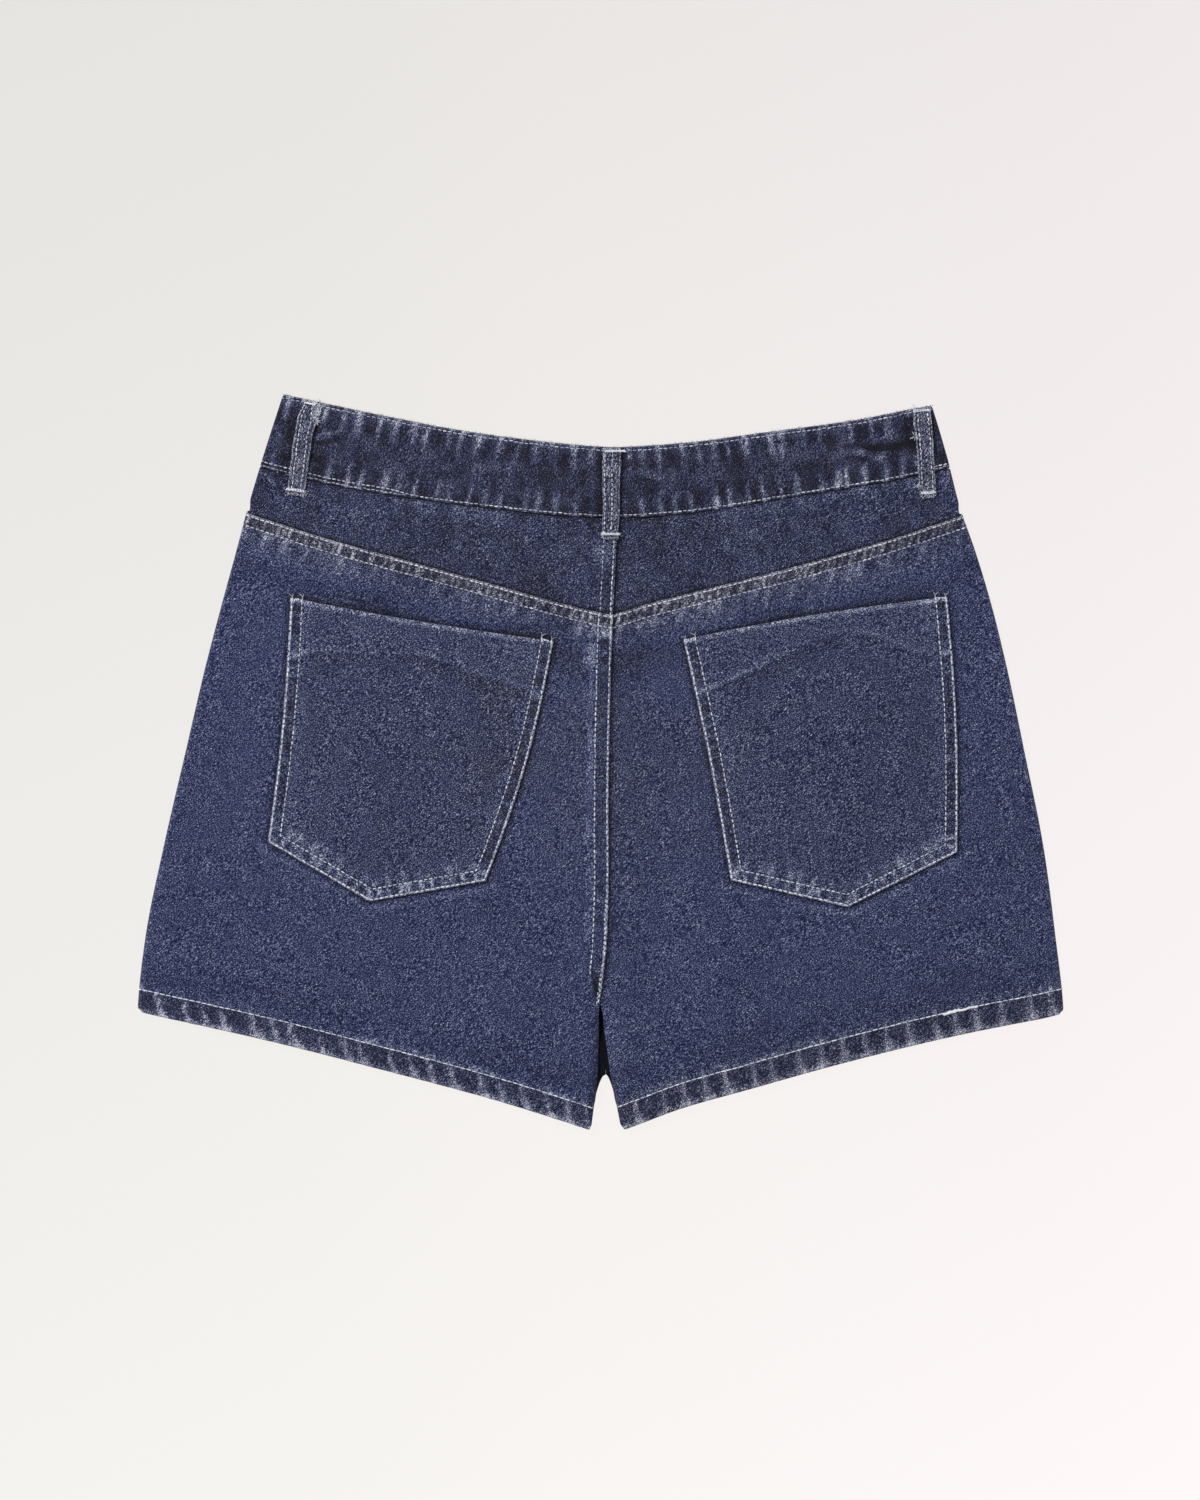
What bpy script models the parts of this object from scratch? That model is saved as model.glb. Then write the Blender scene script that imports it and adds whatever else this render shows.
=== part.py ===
"""A denim skort lying flat on its front, so that its back is on top.

+X runs across the garment, +Y from hem to waist, +Z up out of the cloth. The origin is at the
middle of the outline, on the surface that the garment lies on. From below, the layers are:

    skirt front (two halves lapped at the centre front)
    front legs of the shorts
    back legs and yokes, which fold round both sides to the front, where the side seams are
    patch pockets on the back legs
    a waistband ring folded flat round all of it, with belt loops on both faces

Every panel is a grid of points on a height function, thickened to a wall. Layers that lie on
each other use the same functions, one LAYER apart.
"""

import math

import bmesh
import bpy
import numpy as np
from mathutils import Vector

MM = 0.001

# Cloth
CLOTH = 1.1 * MM
GAP = 0.3 * MM
LAYER = CLOTH + GAP
BAND_WALL = 2.4 * MM
LOOP_WALL = 1.4 * MM
LOOP_WIDTH = 10 * MM
LOOP_BELOW_BAND = 12 * MM
LOOP_ARCH = 1.0 * MM

# Seams, hems and laps
HEM_DEPTH = 12 * MM
YOKE_LAP = 10 * MM  # how far the yoke runs under the back legs
SIDE_WRAP = 8 * MM  # how far the back folds round to the front
FRONT_LAP = 30 * MM  # overlap of the skirt halves and of the waistband's ends
FRONT_DROP = 12 * MM  # the front waist is this much lower than the back waist
FOLD = LAYER / 2  # radius of a hem's fold, to the middle of the cloth
ROLL = 1.8 * MM  # radius of the inner leg edges

# Button under the front lap of the waistband
BUTTON_RADIUS = 8.5 * MM
BUTTON_HEIGHT = 1.9 * MM
BUTTON_SHANK = 3 * MM
BUTTON_LIFT = BUTTON_HEIGHT + GAP
FRONT_LOOP_X = 105 * MM
FRONT_LOOP_LIFT = LOOP_WALL + 1.5 * GAP
LOFT = 1.5 * MM  # air under the middle of each back leg

# How cloth comes down past the edge of what it lies on: level to CLEAR, then down by SETTLE
TOUCH = 1 * MM
CLEAR = 1.5 * MM
SETTLE = 9 * MM
LEG_SPAN = 60 * MM  # the same for the back legs, which span more loosely above the skirt's hem
LAP_SPREAD = 12 * MM  # beside the laps of the front
BAND_LAP_SPREAD = 45 * MM
LIFT_SPAN = 46 * MM  # below the waistband's lower edge, over the button and the front loops
BUTTON_SPREAD = 80 * MM
LOOP_SPREAD = 25 * MM
BAND_RISE = 0.5 * MM  # extra height of the back where it meets the waistband
BAND_LAP_RISE = 1.3 * MM
BAND_RISE_SPAN = 30 * MM
UNDER_LAP = (9 * MM, 16 * MM)  # the left back comes down past the right one's edge
LEG_ROLL_SPAN = 14 * MM

# The sides of the garment: height, left edge, right edge
SIDES = MM * np.array((
    (-160, -259.6, 259.6),
    (-138, -259.0, 259.0),
    (-97, -254.5, 254.5),
    (-47, -244.4, 247.8),
    (4, -232.6, 237.6),
    (54, -220.9, 227.1),
    (88, -212.0, 218.7),
    (121, -203.0, 208.6),
    (138, -198.5, 202.5),
    (172, -188.4, 193.5),
    (198, -180.0, 185.7),
    (215, -174.4, 180.0),
))

# The free edge of the left back leg, down the centre back seam and the inside of the leg, and
# the edge of the right one, which lies under it above the crotch: height, left leg, right leg
MIDDLE = MM * np.array((
    (-210, -5.8, 12.4),
    (-175, -1.9, 5.9),
    (-155, -1.3, 3.0),
    (-140, -0.9, 0.9),
    (-127, 0.8, -2.4),
    (-110, 2.9, -5.4),
    (-78, 4.5, -4.5),
    (-22, 4.6, -4.4),
    (79, 6.9, -2.1),
    (124, 9.0, 0.0),
    (180, 9.4, 0.4),
))
CROTCH = -140 * MM

# The front legs part lower down, in a round arch under the back legs' slit
FRONT_CROTCH = -174.5 * MM
ARCH_X = 2.3 * MM  # the arch's middle
ARCH_DEPTH = 14 * MM

# Edges that run across: centre x and height, left x and height, right x and height, and how
# they bend (1 is straight, more is a dip that is round at the centre)
EDGES = {
    "waist": (8, 176.8, -177.8, 204.7, 185.6, 198.5, 1.43),
    "band_seam": (8, 136.5, -190.0, 165.7, 195.4, 164.0, 1.60),
    "yoke": (6, 82.3, -197.6, 141.0, 202.2, 139.3, 1.08),
    "hem": (3.5, -208.5, -259.0, -139.6, 259.0, -139.9, 0.88),
    "skirt_hem": (0, -173.5, -256.0, -106.5, 256.0, -106.5, 1.0),
}

# Patch pockets, the corners round each one from the mouth's outer end: x and height
POCKETS = {
    "left": {"outer_mouth": (-173.9, 91.6), "inner_mouth": (-27.2, 67.5),
             "inner_base": (-65.2, -66.4), "point": (-129.1, -79.2), "outer_base": (-185.1, -45.1)},
    "right": {"outer_mouth": (194.0, 92.1), "inner_mouth": (46.2, 67.5),
              "inner_base": (76.4, -65.2), "point": (138.6, -82.0), "outer_base": (199.6, -50.7)},
}

# Belt loops on the back: x at the waist, x at the lower end
BACK_LOOPS = {"left": (-161.6, -170.5), "centre": (6.2, 6.2), "right": (180.0, 183.4)}

# Grid lines that every layer shares, so that their facets lie on each other. A line is a stop,
# (edge, distance past it), and a number stands for that many even lines between two stops.
ACROSS = tuple(("centre", x * MM) for x in (16, 27, 60, 80, 99, 111, 130))
ABOVE_YOKE = (("band_seam", -GAP), 2, ("yoke", 10 * MM), ("yoke", 0))
BELOW_YOKE = (("yoke", -YOKE_LAP - 1 * MM), ("yoke", -YOKE_LAP - 9 * MM))
CROTCH_ROWS = (("skirt_hem", 46 * MM), ("skirt_hem", 34 * MM))
SKIRT_HEM_ROWS = tuple(("skirt_hem", y * MM) for y in (21, 13.5, -1, -9))
LEG_HEM_ROWS = (("hem", 21 * MM), ("hem", 13.5 * MM), ("hem", 6 * MM), ("hem", FOLD + CLOTH / 2))
OWN_HEM_ROWS = (("skirt_hem", 21 * MM), ("skirt_hem", 13.5 * MM), ("skirt_hem", 6 * MM),
                ("skirt_hem", FOLD + CLOTH / 2))
TURN_STEPS = 4

DENIM = (0.045, 0.055, 0.125)
THREAD_WORN = (0.06, 0.07, 0.14)
METAL = (0.55, 0.53, 0.50)


def ramp(at, start, end):
    """0 at start and 1 at end, smooth between them and level beyond."""
    t = np.clip((at - start) / (end - start), 0, 1)
    return t * t * (3 - 2 * t)


def curve(places, values, at):
    """A smooth curve through the values at rising places, read at any place."""
    slopes = np.gradient(values, places)
    at = np.clip(at, places[0], places[-1])
    i = np.clip(np.searchsorted(places, at) - 1, 0, len(places) - 2)
    step = places[i + 1] - places[i]
    t = (at - places[i]) / step
    return (
        (1 + 2 * t) * (1 - t) ** 2 * values[i]
        + t * (1 - t) ** 2 * step * slopes[i]
        + t**2 * (3 - 2 * t) * values[i + 1]
        + t**2 * (t - 1) * step * slopes[i + 1]
    )


def side_x(y, side):
    """The garment's outline at a height: side is -1 at the left and 1 at the right."""
    return curve(SIDES[:, 0], SIDES[:, 1 if side < 0 else 2], y)


def middle_x(y, side):
    return curve(MIDDLE[:, 0], MIDDLE[:, 1 if side < 0 else 2], y)


def edge_y(name, x, share_front=0.0):
    """The height of an edge across the garment; share_front lowers the waist to the front's."""
    cx, cy, lx, ly, rx, ry = (MM * n for n in EDGES[name][:6])
    if name in ("waist", "band_seam"):
        cy = cy - FRONT_DROP * share_front
    left = x < cx
    reach = np.where(left, (x - cx) / (lx - cx), (x - cx) / (rx - cx))
    rise = np.clip(reach, 0, None) ** EDGES[name][6]
    return cy + np.where(left, ly - cy, ry - cy) * rise


def front_lap(x):
    """1 where the two front halves lie on each other, falling to 0 beside the lap."""
    return ramp(abs(x), FRONT_LAP / 2 + LAP_SPREAD, FRONT_LAP / 2 + TOUCH)


def band_lap(x):
    return ramp(abs(x), FRONT_LAP / 2 + BAND_LAP_SPREAD, FRONT_LAP / 2 + TOUCH)


def lift(x, y):
    """How far the button and the front belt loops hold the waist up off the surface."""
    from_loop = abs(abs(x) - FRONT_LOOP_X)
    button = BUTTON_LIFT * ramp(abs(x), BUTTON_SPREAD, FRONT_LAP / 2 + TOUCH)
    loops = FRONT_LOOP_LIFT * ramp(from_loop, LOOP_SPREAD, LOOP_WIDTH / 2 + TOUCH)
    down = y - edge_y("band_seam", x, 1)
    return np.maximum(button, loops) * ramp(down, -LIFT_SPAN, -LOOP_BELOW_BAND - 3 * TOUCH)


def skirt_hem_zone(x, y):
    up = y - edge_y("skirt_hem", x)
    return ramp(up, -SETTLE, -TOUCH) * ramp(up, HEM_DEPTH + SETTLE, HEM_DEPTH + CLEAR)


def skirt_plies(x, y):
    """How many plies of the skirt lie under the front legs, away from its lap."""
    return ramp(y - edge_y("skirt_hem", x), -SETTLE, -TOUCH) + skirt_hem_zone(x, y)


def front_z(x, y):
    """The middle of the front legs' cloth."""
    return CLOTH / 2 + LAYER * skirt_plies(x, y) * (1 + front_lap(x)) + lift(x, y)


def back_z(x, y):
    """The middle of the back's cloth, away from its laps. It spans evenly from the leg's hem
    to the skirt's, and sinks to two layers above them."""
    low = ramp(y - edge_y("skirt_hem", x), HEM_DEPTH + LEG_SPAN, HEM_DEPTH + CLEAR)
    plies = 2 + low + front_lap(x) * skirt_plies(x, y)
    up = (y - edge_y("hem", x)) / (edge_y("yoke", x) - edge_y("hem", x))
    side = np.where(x < 0, -1, 1)
    outer = np.where(x < 0, side_x(y, -1), side_x(y, 1))
    across = (x - 8 * MM * side) / (outer - 20 * MM * side)
    air = np.sin(math.pi * np.clip(across, 0, 1)) * np.sin(math.pi * np.clip(up, 0, 1))
    from_band = y - edge_y("band_seam", x)
    band = (BAND_RISE + BAND_LAP_RISE * band_lap(x)) * ramp(from_band, -BAND_RISE_SPAN, -2 * TOUCH)
    return CLOTH / 2 + LAYER * plies + lift(x, y) + LOFT * air**2 + band


def under_left(x, y):
    """1 where the left pieces lie over the right ones, along the centre back."""
    beside = ramp(x, -UNDER_LAP[1], -UNDER_LAP[0])
    return beside * ramp(y, CROTCH - HEM_DEPTH, CROTCH - TOUCH)


def yoke_z(x, y, side):
    return back_z(x, y) + (LAYER * under_left(x, y) if side < 0 else 0)


def over_yoke(x, y):
    down = edge_y("yoke", x) - y
    return ramp(down, YOKE_LAP + SETTLE, YOKE_LAP + CLEAR)


def leg_z(x, y, side):
    """The middle of a back leg's cloth, with its laps and its rolled inner edge."""
    lap = over_yoke(x, y)
    if side < 0:
        fell = under_left(x, y)
        raised = fell + lap + fell * lap
    else:
        raised = lap * (1 + ramp(x, 16 * MM, 10.7 * MM))
    inward = abs(x - middle_x(y, side))
    rolled = ramp(y, CROTCH, CROTCH - HEM_DEPTH) * ramp(
        y - edge_y("hem", x), HEM_DEPTH + CLEAR, HEM_DEPTH + SETTLE
    )
    short = np.clip(ROLL - inward, 0, ROLL)
    drop = ROLL - np.sqrt(ROLL**2 - short**2)
    rise = (ROLL - CLOTH / 2 + GAP / 2) * ramp(inward, LEG_ROLL_SPAN, ROLL)
    return back_z(x, y) + LAYER * raised + rolled * (rise - drop)


def yoke_tail_z(x, y):
    """Where the yoke has gone round to the front, it lies on the back leg's own wrap."""
    up = y - edge_y("yoke", x)
    return CLOTH / 2 + LAYER * ramp(up, SETTLE, CLEAR)


def leg_tail_z(x, y):
    return CLOTH / 2 + 0 * (x + y)


def stops(*entries):
    """Grid lines as (stop, next stop, share). An entry is a stop, (edge's name, distance past
    it), or a number of even lines between the stops before and after it."""
    lines = []
    for k, entry in enumerate(entries):
        if isinstance(entry, int):
            lines += [(entries[k - 1], entries[k + 1], (n + 1) / (entry + 1)) for n in range(entry)]
        else:
            lines.append((entry, entry, 0.0))
    return lines


def on_line(line, place):
    """Where a grid line is, given the place of a stop."""
    before, after, share = line
    return place(*before) * (1 - share) + place(*after) * share


def panel(side, columns, rows, inner, z, tail_z=None, seam_gap=0.0, inset=None):
    """Points of a panel, in rows from its top edge down and columns outwards from the centre.

    inner(y) is its inner edge and z(x, y) the middle of its cloth. With tail_z, it goes on round
    the side in a half turn, to lie at that height on the front. Without, it ends seam_gap short
    of where a panel that does so ends. inset(y) is how far in from the outline it turns."""
    turns = [0.0] * len(columns)
    wraps = [0.0] * len(columns)
    if tail_z:
        turns += [math.pi * (k + 1) / TURN_STEPS for k in range(TURN_STEPS)] + [math.pi]
        wraps += [0.0] * TURN_STEPS + [SIDE_WRAP]
        columns = columns + [columns[-1]] * (TURN_STEPS + 1)
    turns, wraps = np.array(turns), np.array(wraps)
    turned = (1 - np.cos(turns)) / 2 if tail_z else 1 + 0 * turns
    x = np.full((len(rows), len(columns)), side * 100 * MM)
    for _ in range(12):
        y = np.stack([
            on_line(row, lambda name, past, k=k: edge_y(name, x[k], turned) + past)
            for k, row in enumerate(rows)
        ])
        rim = side_x(y, side)
        if tail_z:
            rim = rim - side * (inset(rim, y) if inset else 0)
            radius = (z(rim, y) - tail_z(rim, y)) / 2
            flat_end = rim - side * (radius + CLOTH / 2)
        else:
            near_yoke = ramp(abs(y - edge_y("yoke", rim)), YOKE_LAP + SETTLE, YOKE_LAP + TOUCH)
            radius = (back_z(rim, y) + LAYER * near_yoke - CLOTH / 2) / 2
            flat_end = rim - side * (radius + CLOTH / 2 + SIDE_WRAP + seam_gap)
        where = {"inner": inner(y), "centre": 0 * y, "outer": flat_end}
        flat_x = np.stack([
            on_line(column, lambda name, past, k=k: where[name][:, k] + side * past)
            for k, column in enumerate(columns)
        ], axis=1)
        x = flat_x + side * (radius * np.sin(turns) - wraps)
    height = z(flat_x, y)
    if tail_z:
        height = height - 2 * turned * radius
    return np.stack([x, y, height], axis=2)


def normals(points, side):
    """The directions out of a panel's face at each of its points."""
    across = np.gradient(points, axis=1)
    down = np.gradient(points, axis=0)
    out = -side * np.cross(across, down)
    return out / np.linalg.norm(out, axis=2, keepdims=True)


def with_hem(points, side, turned_rows, steps=4):
    """The panel with its lower edge turned in: a half round, and then the last rows again
    one layer further in. For a panel that faces down, side is given the other way round."""
    hem = points[-turned_rows:]
    out = normals(hem, side)
    down = points[-1] - points[-2]
    down /= np.linalg.norm(down, axis=1, keepdims=True)
    rows = [points]
    for k in range(1, steps):
        angle = math.pi * k / steps
        fold = down * math.sin(angle) - out[-1] * (1 - math.cos(angle))
        rows.append((points[-1] + FOLD * fold)[None])
    return np.concatenate([*rows, (hem - 2 * FOLD * out)[::-1]])


def material(name, colour, roughness, metallic=0.0):
    made = bpy.data.materials.new(name)
    made.use_nodes = True
    shader = made.node_tree.nodes["Principled BSDF"]
    shader.inputs["Base Color"].default_value = (*colour, 1)
    shader.inputs["Roughness"].default_value = roughness
    shader.inputs["Metallic"].default_value = metallic
    return made


def piece(name, mesh, collection, colour=DENIM, roughness=0.9, metallic=0.0):
    made = bpy.data.objects.new(name, mesh)
    mesh.materials.append(material(name, colour, roughness, metallic))
    collection.objects.link(made)
    return made


def cloth(name, points, collection, wall=CLOTH, colour=DENIM):
    """A grid with its vertices moved to the points, thickened to a wall about them."""
    rows, columns = points.shape[:2]
    grid = bmesh.new()
    bmesh.ops.create_grid(grid, x_segments=columns - 1, y_segments=rows - 1, size=0.5)
    for vertex in grid.verts:
        column = round((vertex.co.x + 0.5) * (columns - 1))
        row = round((0.5 - vertex.co.y) * (rows - 1))
        vertex.co = Vector(points[row, column])
    mesh = bpy.data.meshes.new(name)
    grid.to_mesh(mesh)
    grid.free()
    made = piece(name, mesh, collection, colour)
    solid = made.modifiers.new("Wall", "SOLIDIFY")
    solid.thickness = wall
    solid.offset = 0
    solid.use_even_offset = True
    solid.use_quality_normals = True
    return made


def add_back(collection):
    for side, word in ((-1, "left"), (1, "right")):
        def inner(y, side=side):
            return middle_x(y, side)

        near = (("centre", 9 * MM),) if side < 0 else (2,)
        columns = stops(
            ("inner", 0), ("inner", 0.5 * MM), ("inner", 1.2 * MM), ("inner", 2.2 * MM),
            *near, *ACROSS, 2, ("outer", -16 * MM), ("outer", 0),
        )
        rows = stops(("yoke", 0), *BELOW_YOKE, 3, *CROTCH_ROWS, *SKIRT_HEM_ROWS, *LEG_HEM_ROWS)
        leg = panel(side, columns, rows, inner, lambda x, y: leg_z(x, y, side), leg_tail_z)
        cloth(f"back_leg_{word}", with_hem(leg, side, 3), collection)

        near = (("centre", 9 * MM),) if side < 0 else ()
        columns = stops(("inner", 0), *near, *ACROSS, 1, ("outer", -14 * MM), ("outer", 0))
        rows = stops(*ABOVE_YOKE, ("yoke", -YOKE_LAP))
        yoke = panel(
            side, columns, rows, inner, lambda x, y: yoke_z(x, y, side), yoke_tail_z,
            inset=lambda x, y: yoke_tail_z(x, y) - CLOTH / 2,
        )
        cloth(f"yoke_{word}", yoke, collection)


def pocket_points(word):
    """A pocket's grid on its leg: across from the outer side to the inner one, then down."""
    corner = {name: MM * np.array(place) for name, place in POCKETS[word].items()}
    side = -1 if word == "left" else 1
    across = np.linspace(0, 1, 7)
    point_at = 0.48
    rows = []
    for down in np.linspace(0, 1, 7):
        row = []
        for share in across:
            mouth = corner["outer_mouth"] * (1 - share) + corner["inner_mouth"] * share
            if share < point_at:
                t = share / point_at
                base = corner["outer_base"] * (1 - t) + corner["point"] * t
            else:
                t = (share - point_at) / (1 - point_at)
                base = corner["point"] * (1 - t) + corner["inner_base"] * t
            x, y = mouth * (1 - down) + base * down
            row.append((x, y, float(leg_z(x, y, side)) + LAYER + GAP / 2))
        rows.append(row)
    return np.array(rows)


def add_pockets(collection):
    for word in POCKETS:
        cloth(f"pocket_{word}", pocket_points(word), collection)


def add_front(collection):
    for side, word in ((-1, "left"), (1, "right")):
        def crease(y, side=side):
            seam = ARCH_X * ramp(y, CROTCH, FRONT_CROTCH) + side * GAP / 2
            rest = np.clip(1 - (FRONT_CROTCH - y) / ARCH_DEPTH, 0, 1)
            opened = np.sqrt(1 - rest**2)
            return seam * (1 - opened) + (middle_x(y, side) + side * ROLL) * opened

        columns = stops(("inner", 0), *ACROSS, 2, ("outer", -8 * MM), ("outer", 0))
        rows = stops(*ABOVE_YOKE, *BELOW_YOKE, 2, *CROTCH_ROWS, *SKIRT_HEM_ROWS, *LEG_HEM_ROWS)
        leg = panel(side, columns, rows, crease, front_z, seam_gap=2.5 * GAP)
        cloth(f"front_leg_{word}", with_hem(leg, -side, 3), collection)

        def skirt_z(x, y, side=side):
            under = LAYER * (1 + skirt_hem_zone(x, y)) * front_lap(x) if side < 0 else 0
            return CLOTH / 2 + under + lift(x, y)

        lap = ("centre", -FRONT_LAP / 2)
        columns = stops(lap, ("centre", 0), *ACROSS, 2, ("outer", -8 * MM), ("outer", 0))
        rows = stops(*ABOVE_YOKE, *BELOW_YOKE, 3, *OWN_HEM_ROWS)
        skirt = panel(side, columns, rows, crease, skirt_z, seam_gap=2.5 * GAP)
        cloth(f"skirt_front_{word}", with_hem(skirt, -side, 3), collection)


def band_points():
    """The waistband ring: from its inner end at the centre front round the left side, across
    the back and round the right side to its outer end, under the inner one."""
    radius = (BAND_WALL + GAP) / 2
    end = ("centre", -FRONT_LAP / 2)
    half = stops(("centre", 0), *ACROSS, 2, ("outer", -12 * MM), ("outer", 0))
    front = [(line, math.pi) for line in stops(end) + half]
    turn = [(half[-1], math.pi * k / TURN_STEPS) for k in range(1, TURN_STEPS)]
    back = [(line, 0.0) for line in half]
    ring = [(-1, *entry) for entry in front + turn[::-1] + back[::-1]]
    ring += [(1, *entry) for entry in back[1:] + turn + front[::-1]]
    points = []
    for down in (0.0, 0.5, 1.0):
        for side, line, angle in ring:
            turned = (1 - math.cos(angle)) / 2
            x = 0.0
            for _ in range(12):
                y = edge_y("waist", x, turned) * (1 - down) + edge_y("band_seam", x, turned) * down
                where = {"centre": 0.0, "outer": side_x(y, side) - side * (radius + BAND_WALL / 2)}
                flat_x = on_line(line, lambda name, past: where[name] + side * past)
                x = flat_x + side * radius * math.sin(angle)
            low = BAND_WALL / 2 + lift(flat_x, y)
            high = low + 2 * radius * (1 + band_lap(flat_x))
            if side < 0:
                low = low + 2 * radius * ramp(flat_x, -27 * MM, -FRONT_LAP / 2 - 1 * MM)
            points.append((x, y, low * turned + high * (1 - turned)))
    return np.array(points, float).reshape(3, len(ring), 3)


def add_waistband(collection):
    cloth("waistband", band_points(), collection, BAND_WALL)


def loop_on_back(word):
    """A belt loop over the back of the waistband, its lower end on the yoke."""
    top_x, low_x = (MM * n for n in BACK_LOOPS[word])
    wall = LOOP_WALL / 2
    rows = []
    band = edge_y("waist", top_x)
    seam = edge_y("band_seam", (top_x + low_x) / 2)
    length = band - seam + LOOP_BELOW_BAND
    for down in (0.0, 0.12, 0.3, 0.5, 0.66, 0.78, 0.86, 0.94, 1.0):
        row = []
        for across in (-0.5, 0.0, 0.5):
            x0 = top_x + (low_x - top_x) * down
            y = band - 0.2 * MM - length * down
            x = x0 + LOOP_WIDTH * across
            on_band = (BAND_WALL + GAP) * (1 + band_lap(x0)) + BAND_WALL + lift(x0, y)
            on_yoke = back_z(x0, y) + CLOTH / 2 + (LAYER if word == "centre" else 0)
            share = ramp(y - seam, -8 * MM, -2 * MM)
            arch = LOOP_ARCH * ramp(down, 0.0, 0.3) * ramp(down, 0.9, 0.6)
            under = on_band * share + on_yoke * (1 - share)
            row.append((x, y, float(under + 1.5 * GAP + wall + arch)))
        rows.append(row)
    return np.array(rows)


def loop_on_front(side):
    """A belt loop pressed flat between the front waistband and the surface."""
    x0 = side * FRONT_LOOP_X
    top = edge_y("waist", x0, 1) - 0.2 * MM
    low = edge_y("band_seam", x0, 1) - LOOP_BELOW_BAND
    return np.array([
        [(x0 + LOOP_WIDTH * across, float(top + (low - top) * down), LOOP_WALL / 2)
         for across in (-0.5, 0.0, 0.5)]
        for down in (0.0, 0.5, 1.0)
    ])


def add_loops(collection):
    for word in BACK_LOOPS:
        cloth(f"belt_loop_back_{word}", loop_on_back(word), collection, LOOP_WALL, THREAD_WORN)
    for side, word in ((-1, "left"), (1, "right")):
        name = f"belt_loop_front_{word}"
        cloth(name, loop_on_front(side), collection, LOOP_WALL, THREAD_WORN)


def add_button(collection):
    """A plain shank button: a low turned cap, face down, and its shank up to the band."""
    r, h = BUTTON_RADIUS, BUTTON_HEIGHT
    profile = [(BUTTON_SHANK, h), (BUTTON_SHANK, 0.75 * h), (0.9 * r, 0.7 * h), (r, 0.45 * h),
               (0.98 * r, 0.2 * h), (0.9 * r, 0.0)]
    mesh = bpy.data.meshes.new("button")
    points = [(0.0, 0.0, h)] + [(x, 0.0, z) for x, z in profile] + [(0.0, 0.0, 0.0)]
    mesh.from_pydata(points, [(k, k + 1) for k in range(len(points) - 1)], [])
    made = piece("button", mesh, collection, METAL, 0.35, 1.0)
    seam = float(edge_y("band_seam", 0.0, 1) + edge_y("waist", 0.0, 1)) / 2
    made.location = (0, seam, 0)
    turned = made.modifiers.new("Turned", "SCREW")
    turned.steps = turned.render_steps = 24
    turned.use_merge_vertices = True
    turned.merge_threshold = 0.00001
    turned.use_normal_calculate = True


def main():
    for old in list(bpy.data.objects):
        bpy.data.objects.remove(old, do_unlink=True)
    skort = bpy.data.collections.new("denim_skort")
    bpy.context.scene.collection.children.link(skort)
    add_front(skort)
    add_back(skort)
    add_pockets(skort)
    add_waistband(skort)
    add_loops(skort)
    add_button(skort)


main()
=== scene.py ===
"""The looks of a denim skort that lies flat on its front, with its back on top.

Lengths are in metres, or in mm in the tables and where it is said. +X runs across the garment,
+Y from hem to waist, +Z up out of the cloth.
Every cloth is a thin closed shell on the form of the solid that it stands for: a grid of points
on a height function, with the seams, puckers and creases as relief on top. A cloth carries one
number at each point, its tone, which its material reads: above 0 the indigo is worn away to the
pale yarn below, with one painted highlight where the right leg's edge meets the slit, and under 0
it is darker, from unworn cloth and from shade and shadow painted in beside edges, seams and
folds. The back legs also carry how grey they are. Stitches are short tubes.
"""

import math

import bpy
import numpy as np
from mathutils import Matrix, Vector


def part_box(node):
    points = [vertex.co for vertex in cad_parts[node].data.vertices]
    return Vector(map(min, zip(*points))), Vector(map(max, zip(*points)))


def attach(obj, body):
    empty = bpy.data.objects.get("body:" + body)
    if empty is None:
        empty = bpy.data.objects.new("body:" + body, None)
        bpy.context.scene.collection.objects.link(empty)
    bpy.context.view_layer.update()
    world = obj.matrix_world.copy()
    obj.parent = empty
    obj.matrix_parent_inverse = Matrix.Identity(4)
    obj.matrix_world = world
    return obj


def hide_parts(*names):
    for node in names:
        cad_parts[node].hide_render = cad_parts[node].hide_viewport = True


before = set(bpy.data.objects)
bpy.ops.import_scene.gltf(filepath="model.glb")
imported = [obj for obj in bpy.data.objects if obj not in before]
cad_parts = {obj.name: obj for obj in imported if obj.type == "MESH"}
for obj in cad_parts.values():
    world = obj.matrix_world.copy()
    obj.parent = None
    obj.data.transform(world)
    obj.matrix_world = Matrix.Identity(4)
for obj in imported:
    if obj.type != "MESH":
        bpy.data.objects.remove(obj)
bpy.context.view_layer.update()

MM = 0.001

# ---------------------------------------------------------------- the form of the cloth

CLOTH = 1.1 * MM  # how thick it is
GAP = 0.3 * MM  # between two plies
LAYER = CLOTH + GAP
BAND_WALL = 2.4 * MM
LOOP_WALL = 1.4 * MM
LOOP_WIDTH = 10 * MM
LOOP_BELOW_BAND = 12 * MM
LOOP_ARCH = 1.0 * MM  # how far a loop stands off the waistband
HEM_DEPTH = 12 * MM
YOKE_LAP = 10 * MM  # how far the yoke reaches under a leg
SIDE_WRAP = 8 * MM  # how far the back reaches round to the front
FRONT_LAP = 30 * MM
FRONT_DROP = 12 * MM  # how much lower the waist is at the front
FOLD = LAYER / 2  # the radius of a turned hem
HEM_START = FOLD + CLOTH / 2
ROLL = 1.8 * MM  # the radius of the legs' rolled inner edges
BUTTON_HEIGHT = 1.9 * MM
BUTTON_LIFT = BUTTON_HEIGHT + GAP
FRONT_LOOP_X = 105 * MM
FRONT_LOOP_LIFT = LOOP_WALL + 1.5 * GAP
LOFT = 1.5 * MM  # the slack of the back over the front, and how far in from its edges it is
LOFT_STARTS = 8 * MM
LOFT_ENDS = 20 * MM
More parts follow.
